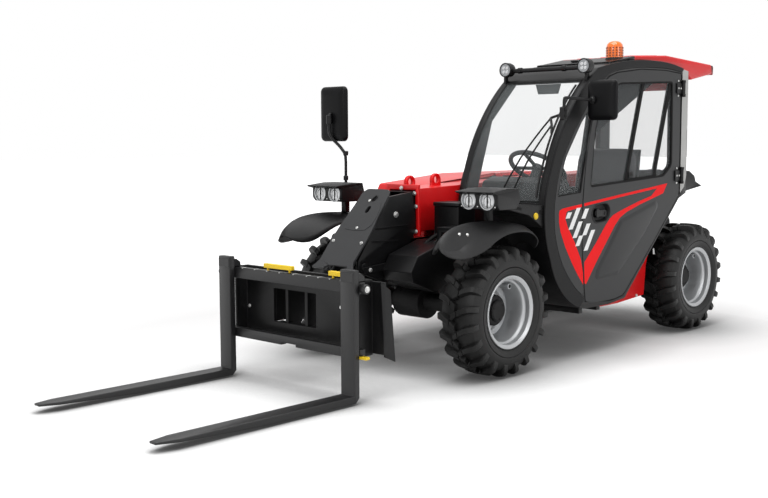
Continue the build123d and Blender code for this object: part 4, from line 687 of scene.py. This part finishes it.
for name, outline, body in (("stripe_panel", VEE_PANEL, "cab"), ("stripe_door", VEE_DOOR, "door")):
    piece(name, prism(outline, "y", CAB_SIDE + 0.0020, CAB_SIDE + 0.0030), STRIPE_RED, BODY[body])
for body in ("cab", "door"):
    bars = bmesh.new()
    for x, z, length, on_body in HATCH:
        if on_body == body:
            rise, lean, half = length / 2, -length * 0.33, 0.0215
            prism([(x - lean - half, z - rise), (x - lean + half, z - rise), (x + lean + half, z + rise),
                   (x + lean - half, z + rise)], "y", CAB_SIDE + 0.0020, CAB_SIDE + 0.0031, bars)
    piece("hatch_" + body, bars, STRIPE_WHITE, BODY[body])

HINGE_X, HINGE_Y = -1.772, 0.728
for n, z in enumerate((1.109, 1.704)):
    leaf = prism(rounded(rect(-1.800, z - 0.036, -1.694, z + 0.036), 0.008),
                 "y", CAB_SIDE + 0.003, CAB_SIDE + 0.013)
    disc((HINGE_X, HINGE_Y - 0.002, z - 0.052), (0, 0, 1), 0.013, 0.104, 24, 0.003, leaf)
    piece(f"hinge_{n}", leaf, BLACK, BODY["door"], 0.0025)
    studs = bmesh.new()
    for dz in (-0.050, 0.050):
        disc((-1.726, CAB_SIDE + 0.002, z + dz), (0, 1, 0), 0.008, 0.005, 20, 0.002, studs)
    for dx in (-0.012, 0.018):
        disc((-1.728 + dx, CAB_SIDE + 0.013, z), (0, 1, 0), 0.007, 0.004, 6, 0.001, studs)
    piece(f"hinge_{n}_studs", studs, ZINC, BODY["door"])

strip = prism([(-1.783, 0.985), (-1.783, 1.822), (-1.800, 1.836), (-1.863, 1.826), (-1.863, 1.560),
               (-1.866, 1.520), (-1.866, 1.450), (-1.858, 1.420), (-1.858, 1.250), (-1.866, 1.225),
               (-1.866, 1.110), (-1.840, 1.030)],
              "y", CAB_SIDE - 0.020, CAB_SIDE + 0.001)
piece("rear_corner_strip", strip, PALE, BODY["cab"], 0.003)


# ---- boom head, coupler and forks ------------------------------------------------------------
COVER_AT = Vector((0.378, -0.090, 1.094))
# its first axis runs down the slope of the cover and its third outward
COVER_FRAME = Matrix(((0.6577, 0, 0.7534, COVER_AT.x), (0, 1, 0, COVER_AT.y),
                      (-0.7534, 0, 0.6577, COVER_AT.z), (0, 0, 0, 1)))
COVER_HALF = (                  # along, half width, radius
    (0.030, 0.108, 0.045), (0.240, 0.127, 0.2), (0.310, 0.138, 0.1), (0.400, 0.144, 0.1),
    (0.570, 0.140, 0.03), (0.600, 0.157, 0.02), (0.628, 0.180, 0.01))
COVER_NOTCH = ((0.628, 0.115, 0.004), (0.609, 0.115, 0.008), (0.599, 0.111, 0.008), (0.601, -0.046, 0.008),
               (0.618, -0.068, 0.008), (0.628, -0.070, 0.004))
DOUBLER_HALF = ((0.126, 0.086), (0.171, 0.108), (0.233, 0.119), (0.301, 0.116), (0.338, 0.084))
COVER_SLOTS = (((0.105, 0.018), 0.042, 0.020, -0.47), ((0.188, 0.016), 0.052, 0.030, -0.10))


def placed(bm, matrix):
    bmesh.ops.transform(bm, matrix=matrix, verts=bm.verts)
    return bm


cover_edge = rounded([*COVER_HALF, *COVER_NOTCH, *[(a, -b, r) for a, b, r in reversed(COVER_HALF)]], 0.01)
doubler_edge = rounded([*DOUBLER_HALF, (0.347, 0.0), *[(a, -b) for a, b in reversed(DOUBLER_HALF)]], 0.012)
slots = [slot_outline(*slot) for slot in COVER_SLOTS]
cover = placed(plate(cover_edge, slots, "z", -0.012, 0.0), COVER_FRAME)
piece("head_cover_plate", cover, HEAD_PAINT, BODY["head_cover"], 0.0015, 2, 30, stands_for=["head_cover"])
doubler = placed(plate(doubler_edge, slots[1:], "z", -0.001, 0.0022), COVER_FRAME)
piece("head_cover_doubler", doubler, HEAD_PAINT, BODY["head_cover"], 0.0008, 2, 30)
studs = bmesh.new()
for a, b in ((0.122, -0.012), (0.326, 0.014)):
    disc((a, b, 0.0), (0, 0, 1), 0.009, 0.006, 24, 0.002, studs)
for b in (-0.118, 0.118):
    bolt((0.430, b, 0.0), (0, 0, 1), 0.008, studs)
piece("head_cover_studs", placed(studs, COVER_FRAME), ZINC, BODY["head_cover"])
rim_plate = placed(plate(slot_outline((0.105, 0.018), 0.052, 0.030, -0.47), slots[:1], "z", -0.0005, 0.0035),
                   COVER_FRAME)
piece("head_cover_slot_rim", rim_plate, BLACK, BODY["head_cover"], 0.001)

CHANNEL = ((0.668, 0.624), (0.372, 0.646), (0.374, 0.604), (0.640, 0.588))
CHEEK_RIBS = (((0.546, 0.844), (0.262, 0.850)), ((0.577, 0.771), (0.349, 0.762)))
for hand, face, out in (("left", 0.030, 1), ("right", -0.210, -1)):
    ribs = prism(rounded(CHANNEL, 0.008), "y", face - out * 0.002, face + out * 0.010)
    for (ax, az), (bx, bz) in CHEEK_RIBS:
        prism([(ax, az + 0.006), (bx, bz + 0.006), (bx, bz - 0.006), (ax, az - 0.006)], "y",
              face - out * 0.002, face + out * 0.003, ribs)
    piece(f"head_{hand}_channel", ribs, BLACK, BODY["head_cover"], 0.002)
    pins = bmesh.new()
    bolt((0.371, face, 0.921), (0, out, 0), 0.014, pins)
    bolt((0.600, face + out * 0.010, 0.608), (0, out, 0), 0.010, pins)
    piece(f"head_{hand}_bolts", pins, ZINC, BODY["head_cover"])

flange_bolts = bmesh.new()
for y, z in ((-0.198, 1.040), (-0.090, 1.070), (0.018, 1.040), (0.030, 0.960), (0.030, 0.808),
             (-0.210, 0.808)):
    bolt((0.1925, y, z), (1, 0, -0.029), 0.010, flange_bolts)
piece("flange_bolts", flange_bolts, ZINC, BODY["boom_outer"])
tunnel = bmesh.new()            # the folded edges of the coupler's window, behind its plate
for y0, y1 in ((-0.270, -0.262), (0.095, 0.103)):
    box((0.968, y0, 0.330), (1.066, y1, 0.526), tunnel)
for z0, z1 in ((0.322, 0.330), (0.526, 0.534)):
    box((1.020, -0.262, z0), (1.066, 0.095, z1), tunnel)
piece("window_edges", tunnel, BLACK, BODY["carriage"], 0.002)

marks = bmesh.new()
for y in (-0.393, -0.285, -0.178, -0.071, 0.046, 0.154, 0.245, 0.335, 0.420):
    box((1.176, y - 0.005, 0.636), (1.2062, y + 0.005, 0.6412), marks)
piece("bar_notches", marks, PALE, BODY["carriage"], 0.0006, 1)
hooks = bmesh.new()
for side in (1, -1):
    prism([(1.208, 0.642), (1.250, 0.642), (1.250, 0.692), (1.190, 0.686), (1.163, 0.668), (1.160, 0.612),
           (1.163, 0.606), (1.163, 0.642)], "y", side * 0.462, side * 0.556, hooks)
piece("fork_hooks", hooks, FORK_PAINT, BODY["left_fork"], 0.0025)
ends = bmesh.new()
disc((1.191, 0.6018, 0.606), (0, 1, 0), 0.012, 0.006, 6, 0.002, ends)
disc((1.191, 0.6010, 0.606), (0, 1, 0), 0.017, 0.002, 24, 0.0006, ends)
for y in (0.300, 0.340, 0.380):
    bolt((1.0852, y, 0.470), (1, 0, 0), 0.009, ends)
for y in (-0.480, 0.440):
    bolt((1.0852, y, 0.400), (1, 0, 0), 0.009, ends)
piece("carriage_bolts", ends, ZINC, BODY["carriage"])


# ---- lamp units and console ------------------------------------------------------------------
HEADLAMPS_Y, HEADLAMP_Z = (0.553, 0.686), 1.024

for hand, side in SIDES:
    cups = bmesh.new()
    lenses = bmesh.new()
    bars = bmesh.new()
    for y in HEADLAMPS_Y:
        centre = (0.0, side * y, HEADLAMP_Z)
        lathe([(0.0466, 0.297), (0.0466, 0.3265), (0.0530, 0.3265), (0.0530, 0.3205), (0.0530, 0.3195)],
              centre, "x", 48, cups)
        lathe([(0.001, 0.3190), (0.018, 0.3210), (0.034, 0.3205), (0.0455, 0.3165), (0.0455, 0.3000),
               (0.001, 0.3000)], centre, "x", 48, lenses)
        prism(rect(side * y - 0.0032, 0.984, side * y + 0.0032, 1.064), "x", 0.318, 0.3232, bars)
        arch = [(0.3212, side * y + 0.024 * cos(pi * k / 16), HEADLAMP_Z + 0.024 * sin(pi * k / 16))
                for k in range(17)]
        tube([(0.3212, side * y + 0.024, 0.998), *arch, (0.3212, side * y - 0.024, 0.998)], 0.0016, 8, bars)
    piece(f"{hand}_headlamp_rings", cups, SILVER, "chassis", 0.0008, 1)
    if side > 0:
        piece("headlamp_lenses", lenses, LENS, "chassis", stands_for=["headlamps"])
    else:
        piece("headlamp_lenses_right", lenses, LENS, "chassis")
    piece(f"{hand}_headlamp_bars", bars, SEAL, "chassis")
    holes = [[(side * y + 0.0500 * cos(2 * pi * k / 32), HEADLAMP_Z + 0.0500 * sin(2 * pi * k / 32))
              for k in range(32)] for y in HEADLAMPS_Y]
    face = plate([(side * 0.494, 1.058), (side * 0.494, 1.000), (side * 0.516, 0.976), (side * 0.734, 0.976),
                  (side * 0.756, 1.000), (side * 0.756, 1.058)], holes, "x", 0.316, 0.3245)
    piece(f"{hand}_lamp_face", face, BLACK, "chassis", 0.0012, 1)
    brow = prism([(0.150, 1.088), (0.360, 1.0765), (0.3665, 1.0745), (0.3665, 1.0700), (0.360, 1.0705),
                  (0.322, 1.0600), (0.322, 1.0650), (0.150, 1.0800)], "y", side * 0.486, side * 0.764)
    piece(f"{hand}_lamp_brow", brow, BLACK, "chassis", 0.0015)
    fixings = bmesh.new()
    for y in (0.505, 0.620, 0.745):
        disc((0.3242, side * y, 0.990), (1, 0, 0), 0.004, 0.0025, 6, bm=fixings)
    piece(f"{hand}_lamp_screws", fixings, ZINC, "chassis")

shelf = prism(rounded([(-0.190, 0.966, 0.004), (-0.281, 0.956, 0.004), (-0.317, 0.770, 0.01),
                       (-0.055, 0.922, 0.01), (0.190, 0.975, 0.004), (0.190, 0.999, 0.006),
                       (-0.053, 0.986, 0.02), (-0.190, 0.976, 0.004)], 0.01),
              "y", 0.432, 0.698)
piece("console_shell", shelf, PLASTIC, "chassis", 0.006, 3, stands_for=["console"])
caps = disc((-0.118, 0.690, 0.915), (0, 1, 0), 0.020, 0.016, 28, 0.004)
piece("console_cap", caps, YELLOW, "chassis", 0.001)
shelf_slots = prism(rounded([(0.020, 0.955), (0.110, 0.972), (0.110, 0.988), (0.020, 0.972)], 0.004), "y",
                    0.690, 0.6995)
prism(rounded([(-0.245, 0.905), (-0.150, 0.925), (-0.150, 0.950), (-0.245, 0.935)], 0.006), "y", 0.690,
      0.6992, shelf_slots)
piece("console_slots", shelf_slots, SEAL, "chassis", 0.0008)


# ---- roof, lamps on it and beacon ------------------------------------------------------------
ROOF_SPLIT_X = -1.235           # black ahead of it, red behind
cap = node_shape("roof_cap")
bmesh.ops.bisect_plane(cap, geom=[*cap.verts, *cap.edges, *cap.faces], plane_co=(ROOF_SPLIT_X, 0, 0),
                       plane_no=(1, 0, 0))
for f in cap.faces:
    f.material_index = 1 if f.calc_center_bounds().x > ROOF_SPLIT_X else 0
piece("roof_cap_dressed", cap, [RED, BLACK], "chassis", 0.012, 3, stands_for=["roof_cap"])
ROOF_RIBS_Y = (0.190, 0.375, 0.560)
ribs = bmesh.new()
for y in ROOF_RIBS_Y:
    prism([(-1.300, 1.906), (-1.640, 1.924), (-2.220, 1.892), (-2.220, 1.899), (-1.640, 1.931),
           (-1.320, 1.914)],
          "y", y - 0.028, y + 0.028, ribs)
piece("roof_ribs", ribs, RED, "chassis", 0.0045, 3, 20)
vents = bmesh.new()
for y in (0.330, 0.420):
    box((-1.075, y - 0.026, 1.870), (-1.030, y + 0.026, 1.881), vents)
piece("roof_vents", vents, BLACK, "chassis", 0.003)
brackets = bmesh.new()
for y in (0.100, 0.650):
    prism(rounded([(-2.300, 1.832), (-2.262, 1.826), (-2.262, 1.884), (-2.300, 1.884)], 0.006), "y",
          y - 0.014, y + 0.014, brackets)
piece("roof_rear_brackets", brackets, BLACK, "chassis", 0.002)

BEACON_AT = (-1.160, 0.560, 0.0)
foot = lathe([(0.001, 1.855), (0.062, 1.855), (0.062, 1.884), (0.058, 1.893), (0.001, 1.893)], BEACON_AT, "z",
             48)
piece("beacon_foot", foot, PLASTIC, "chassis", 0.001, 1)
dome = lathe([(0.001, 1.892), (0.0555, 1.892), (0.0560, 1.930), (0.0550, 1.958), (0.0500, 1.978),
              (0.0380, 1.992), (0.0200, 1.999), (0.001, 2.0005)], BEACON_AT, "z", 48)
piece("beacon_lens", dome, AMBER, "chassis", sharp=50, stands_for=["beacon"])
grid = bmesh.new()
for row in range(4):
    for k in range(16):
        a = 2 * pi * k / 16
        where = Vector((BEACON_AT[0] + 0.0552 * cos(a), BEACON_AT[1] + 0.0552 * sin(a), 1.905 + 0.0165 * row))
        disc(where, (cos(a), sin(a), 0), 0.0062, 0.0014, 8, bm=grid)
piece("beacon_cells", grid, AMBER_DARK, "chassis")

BAR_X, BAR_Z = -0.648, 1.805
ROOF_LAMPS_Y = (0.084, 0.686)
bar = tube([(BAR_X, y, BAR_Z) for y in (0.084, 0.25, 0.50, 0.686)], 0.014, 16)
for y in ROOF_LAMPS_Y:
    lathe([(0.030, BAR_X - 0.030), (0.042, BAR_X - 0.020), (0.046, BAR_X - 0.004), (0.046, BAR_X + 0.040),
           (0.0415, BAR_X + 0.040), (0.0395, BAR_X + 0.034), (0.001, BAR_X + 0.034), (0.001, BAR_X - 0.030)],
          (0.0, y, BAR_Z + 0.007), "x", 40, bar)
for y in (0.062, 0.688):
    prism(rounded(rect(BAR_X - 0.016, BAR_Z - 0.085, BAR_X + 0.012, BAR_Z + 0.010), 0.006), "y", y - 0.008,
          y + 0.008, bar)
piece("roof_lamp_bar", bar, PLASTIC, "chassis", 0.0012, 1, stands_for=["roof_lamps"])
faces = bmesh.new()
spots = bmesh.new()
for y in ROOF_LAMPS_Y:
    disc((BAR_X + 0.0335, y, BAR_Z + 0.007), (1, 0, 0), 0.0392, 0.003, 36, 0.001, faces)
    for k in range(4):
        a = pi / 4 + pi / 2 * k
        disc((BAR_X + 0.0365, y + 0.018 * cos(a), BAR_Z + 0.007 + 0.018 * sin(a)), (1, 0, 0), 0.0105, 0.0015,
             20, 0.0008, spots)
piece("roof_lamp_faces", faces, LAMP, "chassis")
piece("roof_lamp_spots", spots, LENS, "chassis")
for y in (0.180, 0.520):
    clamp = disc((BAR_X, y - 0.014, BAR_Z), (0, 1, 0), 0.019, 0.028, 20, 0.003)
    piece(f"roof_bar_clamp_{round(y * 100)}", clamp, BLACK, "chassis", 0.001)


# ---- mirrors ---------------------------------------------------------------------------------
def mirror_head(name, back_x, y_span, z_span, radius):
    """A crowned shell with a rim, and the mirror in its back."""
    (y0, y1), (z0, z1) = y_span, z_span
    outline = rect(y0, z0, y1, z1)
    rings = []
    for by, x in ((0.010, 0.0), (0.004, 0.002), (0.0, 0.007), (0.0, 0.018), (0.003, 0.026), (0.012, 0.035),
                  (0.028, 0.041), (0.050, 0.0445)):
        rings.append([at("x", a, b, back_x + x) for a, b in rounded(inset(outline, by),
                                                                    max(0.012, radius - by))])
    piece(name, loft(rings), MIRROR_SHELL, "chassis", sharp=50, stands_for=[name.replace("_shell", "")])
    silver = prism(rounded(inset(outline, 0.014), radius * 0.7), "x", back_x - 0.0012, back_x + 0.0006)
    piece(name.replace("_shell", "_face"), silver, MIRROR, "chassis")


mirror_head("right_mirror_shell", 0.070, (-0.918, -0.677), (1.355, 1.715), 0.034)
mirror_head("left_mirror_shell", -0.600, (0.745, 0.948), (1.477, 1.719), 0.030)
path = smooth_path([(0.078, -0.700, 0.872), (0.078, -0.700, 1.120), (0.079, -0.701, 1.255),
                    (0.087, -0.722, 1.300), (0.098, -0.752, 1.335), (0.120, -0.780, 1.372),
                    (0.134, -0.796, 1.412), (0.135, -0.7975, 1.475), (0.132, -0.7975, 1.525),
                    (0.112, -0.7975, 1.536), (0.100, -0.7975, 1.536)], 3)
arm = tube(path, 0.0105, 14)
for z in (0.900, 1.100, 1.262):
    disc((0.078, -0.700, z), (0, 0, 1), 0.017, 0.030, 20, 0.003, arm)
disc((0.134, -0.7975, 1.470), (0, 0, 1), 0.019, 0.060, 20, 0.006, arm)
piece("right_mirror_arm", arm, BLACK, "chassis", 0.001, 1)
arm = tube(smooth_path([(-0.356, 0.724, 1.490), (-0.357, 0.724, 1.560), (-0.360, 0.724, 1.602),
                        (-0.380, 0.730, 1.611), (-0.460, 0.760, 1.606), (-0.548, 0.792, 1.600)], 3), 0.0095,
                        14)
disc((-0.545, 0.795, 1.600), (-1, 0.15, 0), 0.024, 0.012, 24, 0.004, arm)
disc((-0.560, 0.798, 1.600), (1, -0.1, 0), 0.017, 0.024, 24, 0.006, arm)
piece("left_mirror_arm", arm, BLACK, "chassis", 0.001, 1)
clamp = prism(rounded([(-0.376, 1.478), (-0.338, 1.478), (-0.334, 1.556), (-0.366, 1.556)], 0.008), "y",
              0.706, 0.736)
disc((-0.356, 0.736, 1.500), (0, 1, 0), 0.009, 0.006, 6, 0.001, clamp)
disc((-0.354, 0.736, 1.536), (0, 1, 0), 0.009, 0.006, 6, 0.001, clamp)
piece("left_mirror_clamp", clamp, PLASTIC, "chassis", 0.003)


# ---- windshield: seal, wiper and visor tab ---------------------------------------------------
def glass_x(z):
    """x of the windshield's outer face at z, on the cab's front arcs."""
    for (ax, az), (bx, bz) in zip(FRONT_EDGE, FRONT_EDGE[1:]):
        if az <= z <= bz:
            return ax + (bx - ax) * (z - az) / (bz - az) - 0.004
    return FRONT_EDGE[-1][0]


def on_glass(y, z, lift=0.0):
    return (glass_x(z) + lift, y, z)


seal = bmesh.new()
for y in (0.088, 0.662):
    tube([on_glass(y, 0.990 + 0.0365 * k, -0.004) for k in range(21)], 0.009, 8, seal)
for z in (0.992, 1.720):
    tube([on_glass(y, z, -0.004) for y in (0.088, 0.280, 0.470, 0.662)], 0.009, 8, seal)
piece("windshield_seal", seal, SEAL, "chassis")
wiper = bmesh.new()
tube([on_glass(0.645, 1.020 + 0.045 * k, 0.012) for k in range(16)], 0.0055, 8, wiper)
tube([on_glass(0.645, 1.020 + 0.045 * k, 0.003) for k in range(16)], 0.0035, 6, wiper)
for foot_y, top_y, top_z in ((0.375, 0.600, 1.492), (0.462, 0.628, 1.452)):
    tube([on_glass(foot_y + (top_y - foot_y) * k / 8, 1.010 + (top_z - 1.010) * k / 8,
                   0.020 + 0.004 * (4 - abs(k - 4)))
          for k in range(9)], 0.0055, 8, wiper)
tube([on_glass(0.600, 1.492, 0.022), on_glass(0.628, 1.452, 0.022), on_glass(0.645, 1.400, 0.014)], 0.008, 8,
     wiper)
tube([on_glass(0.600, 1.492, 0.022), on_glass(0.645, 1.510, 0.014)], 0.008, 8, wiper)
piece("wiper", wiper, BLACK, "chassis")
pivots = bmesh.new()
for y in (0.375, 0.462):
    disc(on_glass(y, 1.012, -0.002), (1, 0, -0.1), 0.016, 0.028, 20, 0.005, pivots)
prism([(0.330, 0.985), (0.505, 0.985), (0.490, 1.030), (0.345, 1.030)], "x", glass_x(1.0) - 0.006,
      glass_x(1.0) + 0.008, pivots)
piece("wiper_pivots", pivots, BLACK, "chassis", 0.002)
strip = bmesh.new()
prism([(0.300, 1.650), (0.450, 1.650), (0.470, 1.712), (0.280, 1.712)], "x", -0.690, -0.676, strip)
piece("visor_tab", strip, BLACK, "chassis", 0.002)


# ---- cab interior ----------------------------------------------------------------------------
def cushion(name, rings, stands_for=()):
    made = piece(name, loft(rings), FABRIC, "chassis", sharp=60, rounds=1, stands_for=stands_for)
    return made


def pad_rings(centre, along, across, up, half, thick, corner):
    """Rings of a crowned pad: round-cornered outlines that step in towards its top and foot."""
    outline = [(-half[0], -half[1]), (half[0], -half[1]), (half[0], half[1]), (-half[0], half[1])]
    rings = []
    foot = ((0.030, 0.0), (0.006, 0.010))
    crown = ((0.0, 0.34), (0.003, 0.62), (0.016, 0.86), (0.045, 0.96), (0.090, 1.0))
    for by, lift in (*foot, *[(by, share * thick) for by, share in crown]):
        ring = rounded(inset(outline, by), corner)
        rings.append([Vector(centre) + along * a + across * b + up * lift for a, b in ring])
    return rings


lean = Vector((-0.18, 0, 0.9837)).normalized()
front = Vector((lean.z, 0, -lean.x))
left = Vector((0, 1, 0))
cushion("seat_cushion", pad_rings((-1.165, 0.375, 0.745), Vector((1, 0, 0)), left, Vector((0, 0, 1)),
                                  (0.215, 0.232), 0.112, 0.07), stands_for=["seat"])
cushion("seat_back", pad_rings((-1.388, 0.375, 1.060), lean, left, front, (0.235, 0.225), 0.092, 0.08))
pan = prism(rounded(rect(-1.392, 0.742, -0.955, 0.752), 0.003), "y", 0.145, 0.605)
prism([(-1.392, 0.744), (-1.372, 0.744), (-1.452, 1.290), (-1.466, 1.290)], "y", 0.160, 0.590, pan)
piece("seat_shell", pan, PLASTIC, "chassis", 0.004)
seams = bmesh.new()
for y in (0.255, 0.495):
    tube([(-1.340, y, 0.858), (-1.250, y, 0.8575), (-1.080, y, 0.8575), (-0.995, y, 0.856)], 0.0025, 6, seams)
piece("seat_seams", seams, SEAL, "chassis")
arms = bmesh.new()
for y in (0.125, 0.625):
    tube(smooth_path([(-1.400, y, 1.010), (-1.300, y, 1.012), (-1.100, y, 1.006), (-1.060, y, 1.000)], 3),
         0.020, 12, arms)
    tube([(-1.398, y, 1.010), (-1.400, y, 0.930)], 0.012, 10, arms)
    box((-1.420, min(y, 0.375 + (y - 0.375) * 0.8), 0.912),
        (-1.385, max(y, 0.375 + (y - 0.375) * 0.8), 0.936), arms)
piece("seat_arms", arms, PLASTIC, "chassis", 0.002)


# ---- machine's middle: hoses, reflector, louvres and latch -----------------------------------
HOSES = (                       # the points that each hose runs along, and its radius
    (((0.060, 0.130, 0.800), (0.150, 0.120, 0.770), (0.230, 0.095, 0.700), (0.250, 0.060, 0.640)), 0.011),
    (((0.060, 0.165, 0.812), (0.165, 0.160, 0.785), (0.262, 0.130, 0.715), (0.285, 0.085, 0.640)), 0.011),
    (((0.060, 0.200, 0.812), (0.150, 0.210, 0.790), (0.240, 0.205, 0.730), (0.262, 0.180, 0.652)), 0.012),
    (((0.060, 0.240, 0.820), (0.140, 0.260, 0.800), (0.215, 0.262, 0.745), (0.235, 0.240, 0.668)), 0.010))
hoses = bmesh.new()
for points, radius in HOSES:
    tube(smooth_path(points, 5), radius, 12, hoses)
piece("valve_hoses", hoses, SEAL, "chassis")
collars = bmesh.new()
for points, radius in HOSES:
    disc(Vector(points[0]) + Vector((-0.002, 0, 0)), (1, -0.1, -0.3), radius * 1.35, 0.030, 6, 0.002, collars)
piece("hose_collars", collars, ZINC, "chassis")

reflector = prism(rounded([(-1.655, 0.560), (-1.630, 0.562), (-1.626, 0.604), (-1.640, 0.606)], 0.006), "y",
                  0.5975, 0.600)
piece("side_reflector", reflector, STRIPE_WHITE, "chassis", 0.0006, 1)
pins = bmesh.new()
bolt((-1.581, 0.598, 0.620), (0, 1, 0), 0.009, pins)
bolt((-0.930, 0.598, 0.282), (0, 1, 0), 0.008, pins)
bolt((-1.420, 0.598, 0.296), (0, 1, 0), 0.008, pins)
piece("side_panel_bolts", pins, ZINC, "chassis")
seam_strip = prism(rect(-1.776, 0.980, -1.770, 1.800), "y", 0.700, 0.7135)
piece("door_rear_seal", seam_strip, SEAL, "chassis", 0.001)
cowl_slots = bmesh.new()
for y in (0.400, 0.460, 0.520, 0.580, 0.640):
    prism([(-1.960, 1.1285), (-1.905, 1.1405), (-1.905, 1.1435), (-1.960, 1.1315)], "y", y - 0.018, y + 0.018,
          cowl_slots)
piece("cowl_slots", cowl_slots, SEAL, "chassis")

hood_trim = bmesh.new()
for x in (-1.500, -1.120):
    prism(rect(x - 0.006, 0.770, x + 0.006, 1.026), "y", -0.7165, -0.7145, hood_trim)
piece("louvre_trim", hood_trim, RED, BODY["engine_hood"], 0.0006, 1)
latch = prism(rounded(rect(-0.560, 0.700, -0.500, 0.760), 0.012), "y", -0.7195, -0.7140)
disc((-0.530, -0.7195, 0.730), (0, -1, 0), 0.013, 0.004, 24, 0.0015, latch)
piece("hood_latch", latch, BLACK, BODY["engine_hood"], 0.0015)


# ---- floor, light and camera -----------------------------------------------------------------
def seen(tree):
    """1 where a ray comes from the camera, a reflection or glass, else 0."""
    path = node(tree, "LightPath")
    total = path.outputs["Is Camera Ray"]
    for more in ("Is Glossy Ray", "Is Transmission Ray"):
        add = node(tree, "Math", operation="MAXIMUM")
        tree.links.new(total, add.inputs[0])
        tree.links.new(path.outputs[more], add.inputs[1])
        total = add.outputs[0]
    return total


def studio_floor():
    bm = bmesh.new()
    bmesh.ops.create_grid(bm, x_segments=1, y_segments=1, size=60)
    mesh = bpy.data.meshes.new("studio_floor")
    bm.to_mesh(mesh)
    bm.free()
    floor = bpy.data.objects.new("studio_floor", mesh)
    bpy.context.scene.collection.objects.link(floor)
    paper = bpy.data.materials.new("studio_paper")
    paper.use_nodes = True
    tree = paper.node_tree
    tree.nodes.clear()
    matte = node(tree, "BsdfDiffuse")
    # Painted shadow: ambient occlusion darkens the paper's own colour near the machine, a contact shadow
    # painted into the floor.
    painted_shadow_ao = node(tree, "AmbientOcclusion", samples=8, Distance=0.55)
    painted_shadow_depth = node(tree, "Math", operation="POWER")
    painted_shadow_depth.inputs[1].default_value = 1.5
    paper_with_painted_shadow = node(tree, "Mix", data_type="RGBA")
    paper_with_painted_shadow.inputs["A"].default_value = (0.0, 0.0, 0.0, 1)
    paper_with_painted_shadow.inputs["B"].default_value = (0.86, 0.86, 0.86, 1)
    tree.links.new(painted_shadow_ao.outputs["AO"], painted_shadow_depth.inputs[0])
    tree.links.new(painted_shadow_depth.outputs[0], paper_with_painted_shadow.inputs["Factor"])
    tree.links.new(paper_with_painted_shadow.outputs["Result"], matte.inputs["Color"])
    glow = node(tree, "Emission", Color=(1, 1, 1, 1))
    reach = node(tree, "VectorMath", operation="LENGTH")
    tree.links.new(node(tree, "TexCoord").outputs["Object"], reach.inputs[0])
    lift = node(tree, "MapRange", **{"From Min": 2.4, "From Max": 7.0, "To Min": FLOOR_GLOW, "To Max": 1.0})
    tree.links.new(reach.outputs["Value"], lift.inputs["Value"])
    visible = node(tree, "Math", operation="MULTIPLY")
    tree.links.new(seen(tree), visible.inputs[0])
    tree.links.new(lift.outputs["Result"], visible.inputs[1])
    tree.links.new(visible.outputs[0], glow.inputs["Strength"])
    both = node(tree, "AddShader")
    tree.links.new(matte.outputs[0], both.inputs[0])
    tree.links.new(glow.outputs[0], both.inputs[1])
    tree.links.new(both.outputs[0], node(tree, "OutputMaterial").inputs["Surface"])
    mesh.materials.append(paper)


def sky():
    """White where it is seen or reflected, and a plain soft light elsewhere."""
    world = bpy.data.worlds.new("studio")
    bpy.context.scene.world = world
    world.use_nodes = True
    tree = world.node_tree
    back = tree.nodes["Background"]
    back.inputs["Color"].default_value = (1, 1, 1, 1)
    height = node(tree, "SeparateXYZ")
    tree.links.new(node(tree, "TexCoord").outputs["Generated"], height.inputs["Vector"])
    dome = node(tree, "MapRange", **{"From Min": -0.1, "From Max": 1.0, "To Min": 0.20, "To Max": 0.62})
    tree.links.new(height.outputs["Z"], dome.inputs["Value"])
    level = node(tree, "Mix", data_type="FLOAT")
    tree.links.new(seen(tree), level.inputs["Factor"])
    tree.links.new(dome.outputs["Result"], level.inputs["A"])
    level.inputs["B"].default_value = 1.0
    tree.links.new(level.outputs["Result"], back.inputs["Strength"])


def lamp(name, where, aim, size, power):
    """A square soft box that looks at a point."""
    light = bpy.data.lights.new(name, "AREA")
    light.size = size
    light.energy = power
    made = bpy.data.objects.new(name, light)
    bpy.context.scene.collection.objects.link(made)
    made.location = where
    made.rotation_euler = (Vector(aim) - Vector(where)).to_track_quat("-Z", "Y").to_euler()


CAMERA_AT = (5.142, 4.539, 1.382)
CAMERA_YAW, CAMERA_PITCH, CAMERA_ROLL = radians(-135.99), radians(-5.81), radians(-0.26)
CAMERA_LENS = 51.56

FLOOR_GLOW = 0.05               # how far the paper near the machine is lifted towards white

studio_floor()
sky()
lamp("top_light", (0.4, 0.6, 6.5), (0, 0, 0.8), 5.0, 330)
lamp("key_light", (5.5, 1.5, 4.0), (0.3, 0, 0.8), 2.5, 110)
lamp("side_light", (-1.0, 6.5, 3.0), (-0.8, 0.5, 0.9), 2.5, 70)
eye = bpy.data.objects.new("camera", bpy.data.cameras.new("camera"))
bpy.context.scene.collection.objects.link(eye)
eye.data.lens = CAMERA_LENS
eye.data.sensor_width = 36
eye.location = CAMERA_AT
ahead = Vector((cos(CAMERA_YAW) * cos(CAMERA_PITCH), sin(CAMERA_YAW) * cos(CAMERA_PITCH), sin(CAMERA_PITCH)))
turn = ahead.to_track_quat("-Z", "Y") @ Matrix.Rotation(CAMERA_ROLL, 4, "Z").to_quaternion()
eye.rotation_euler = turn.to_euler()
bpy.context.scene.camera = eye
bpy.context.scene.view_settings.view_transform = "Standard"
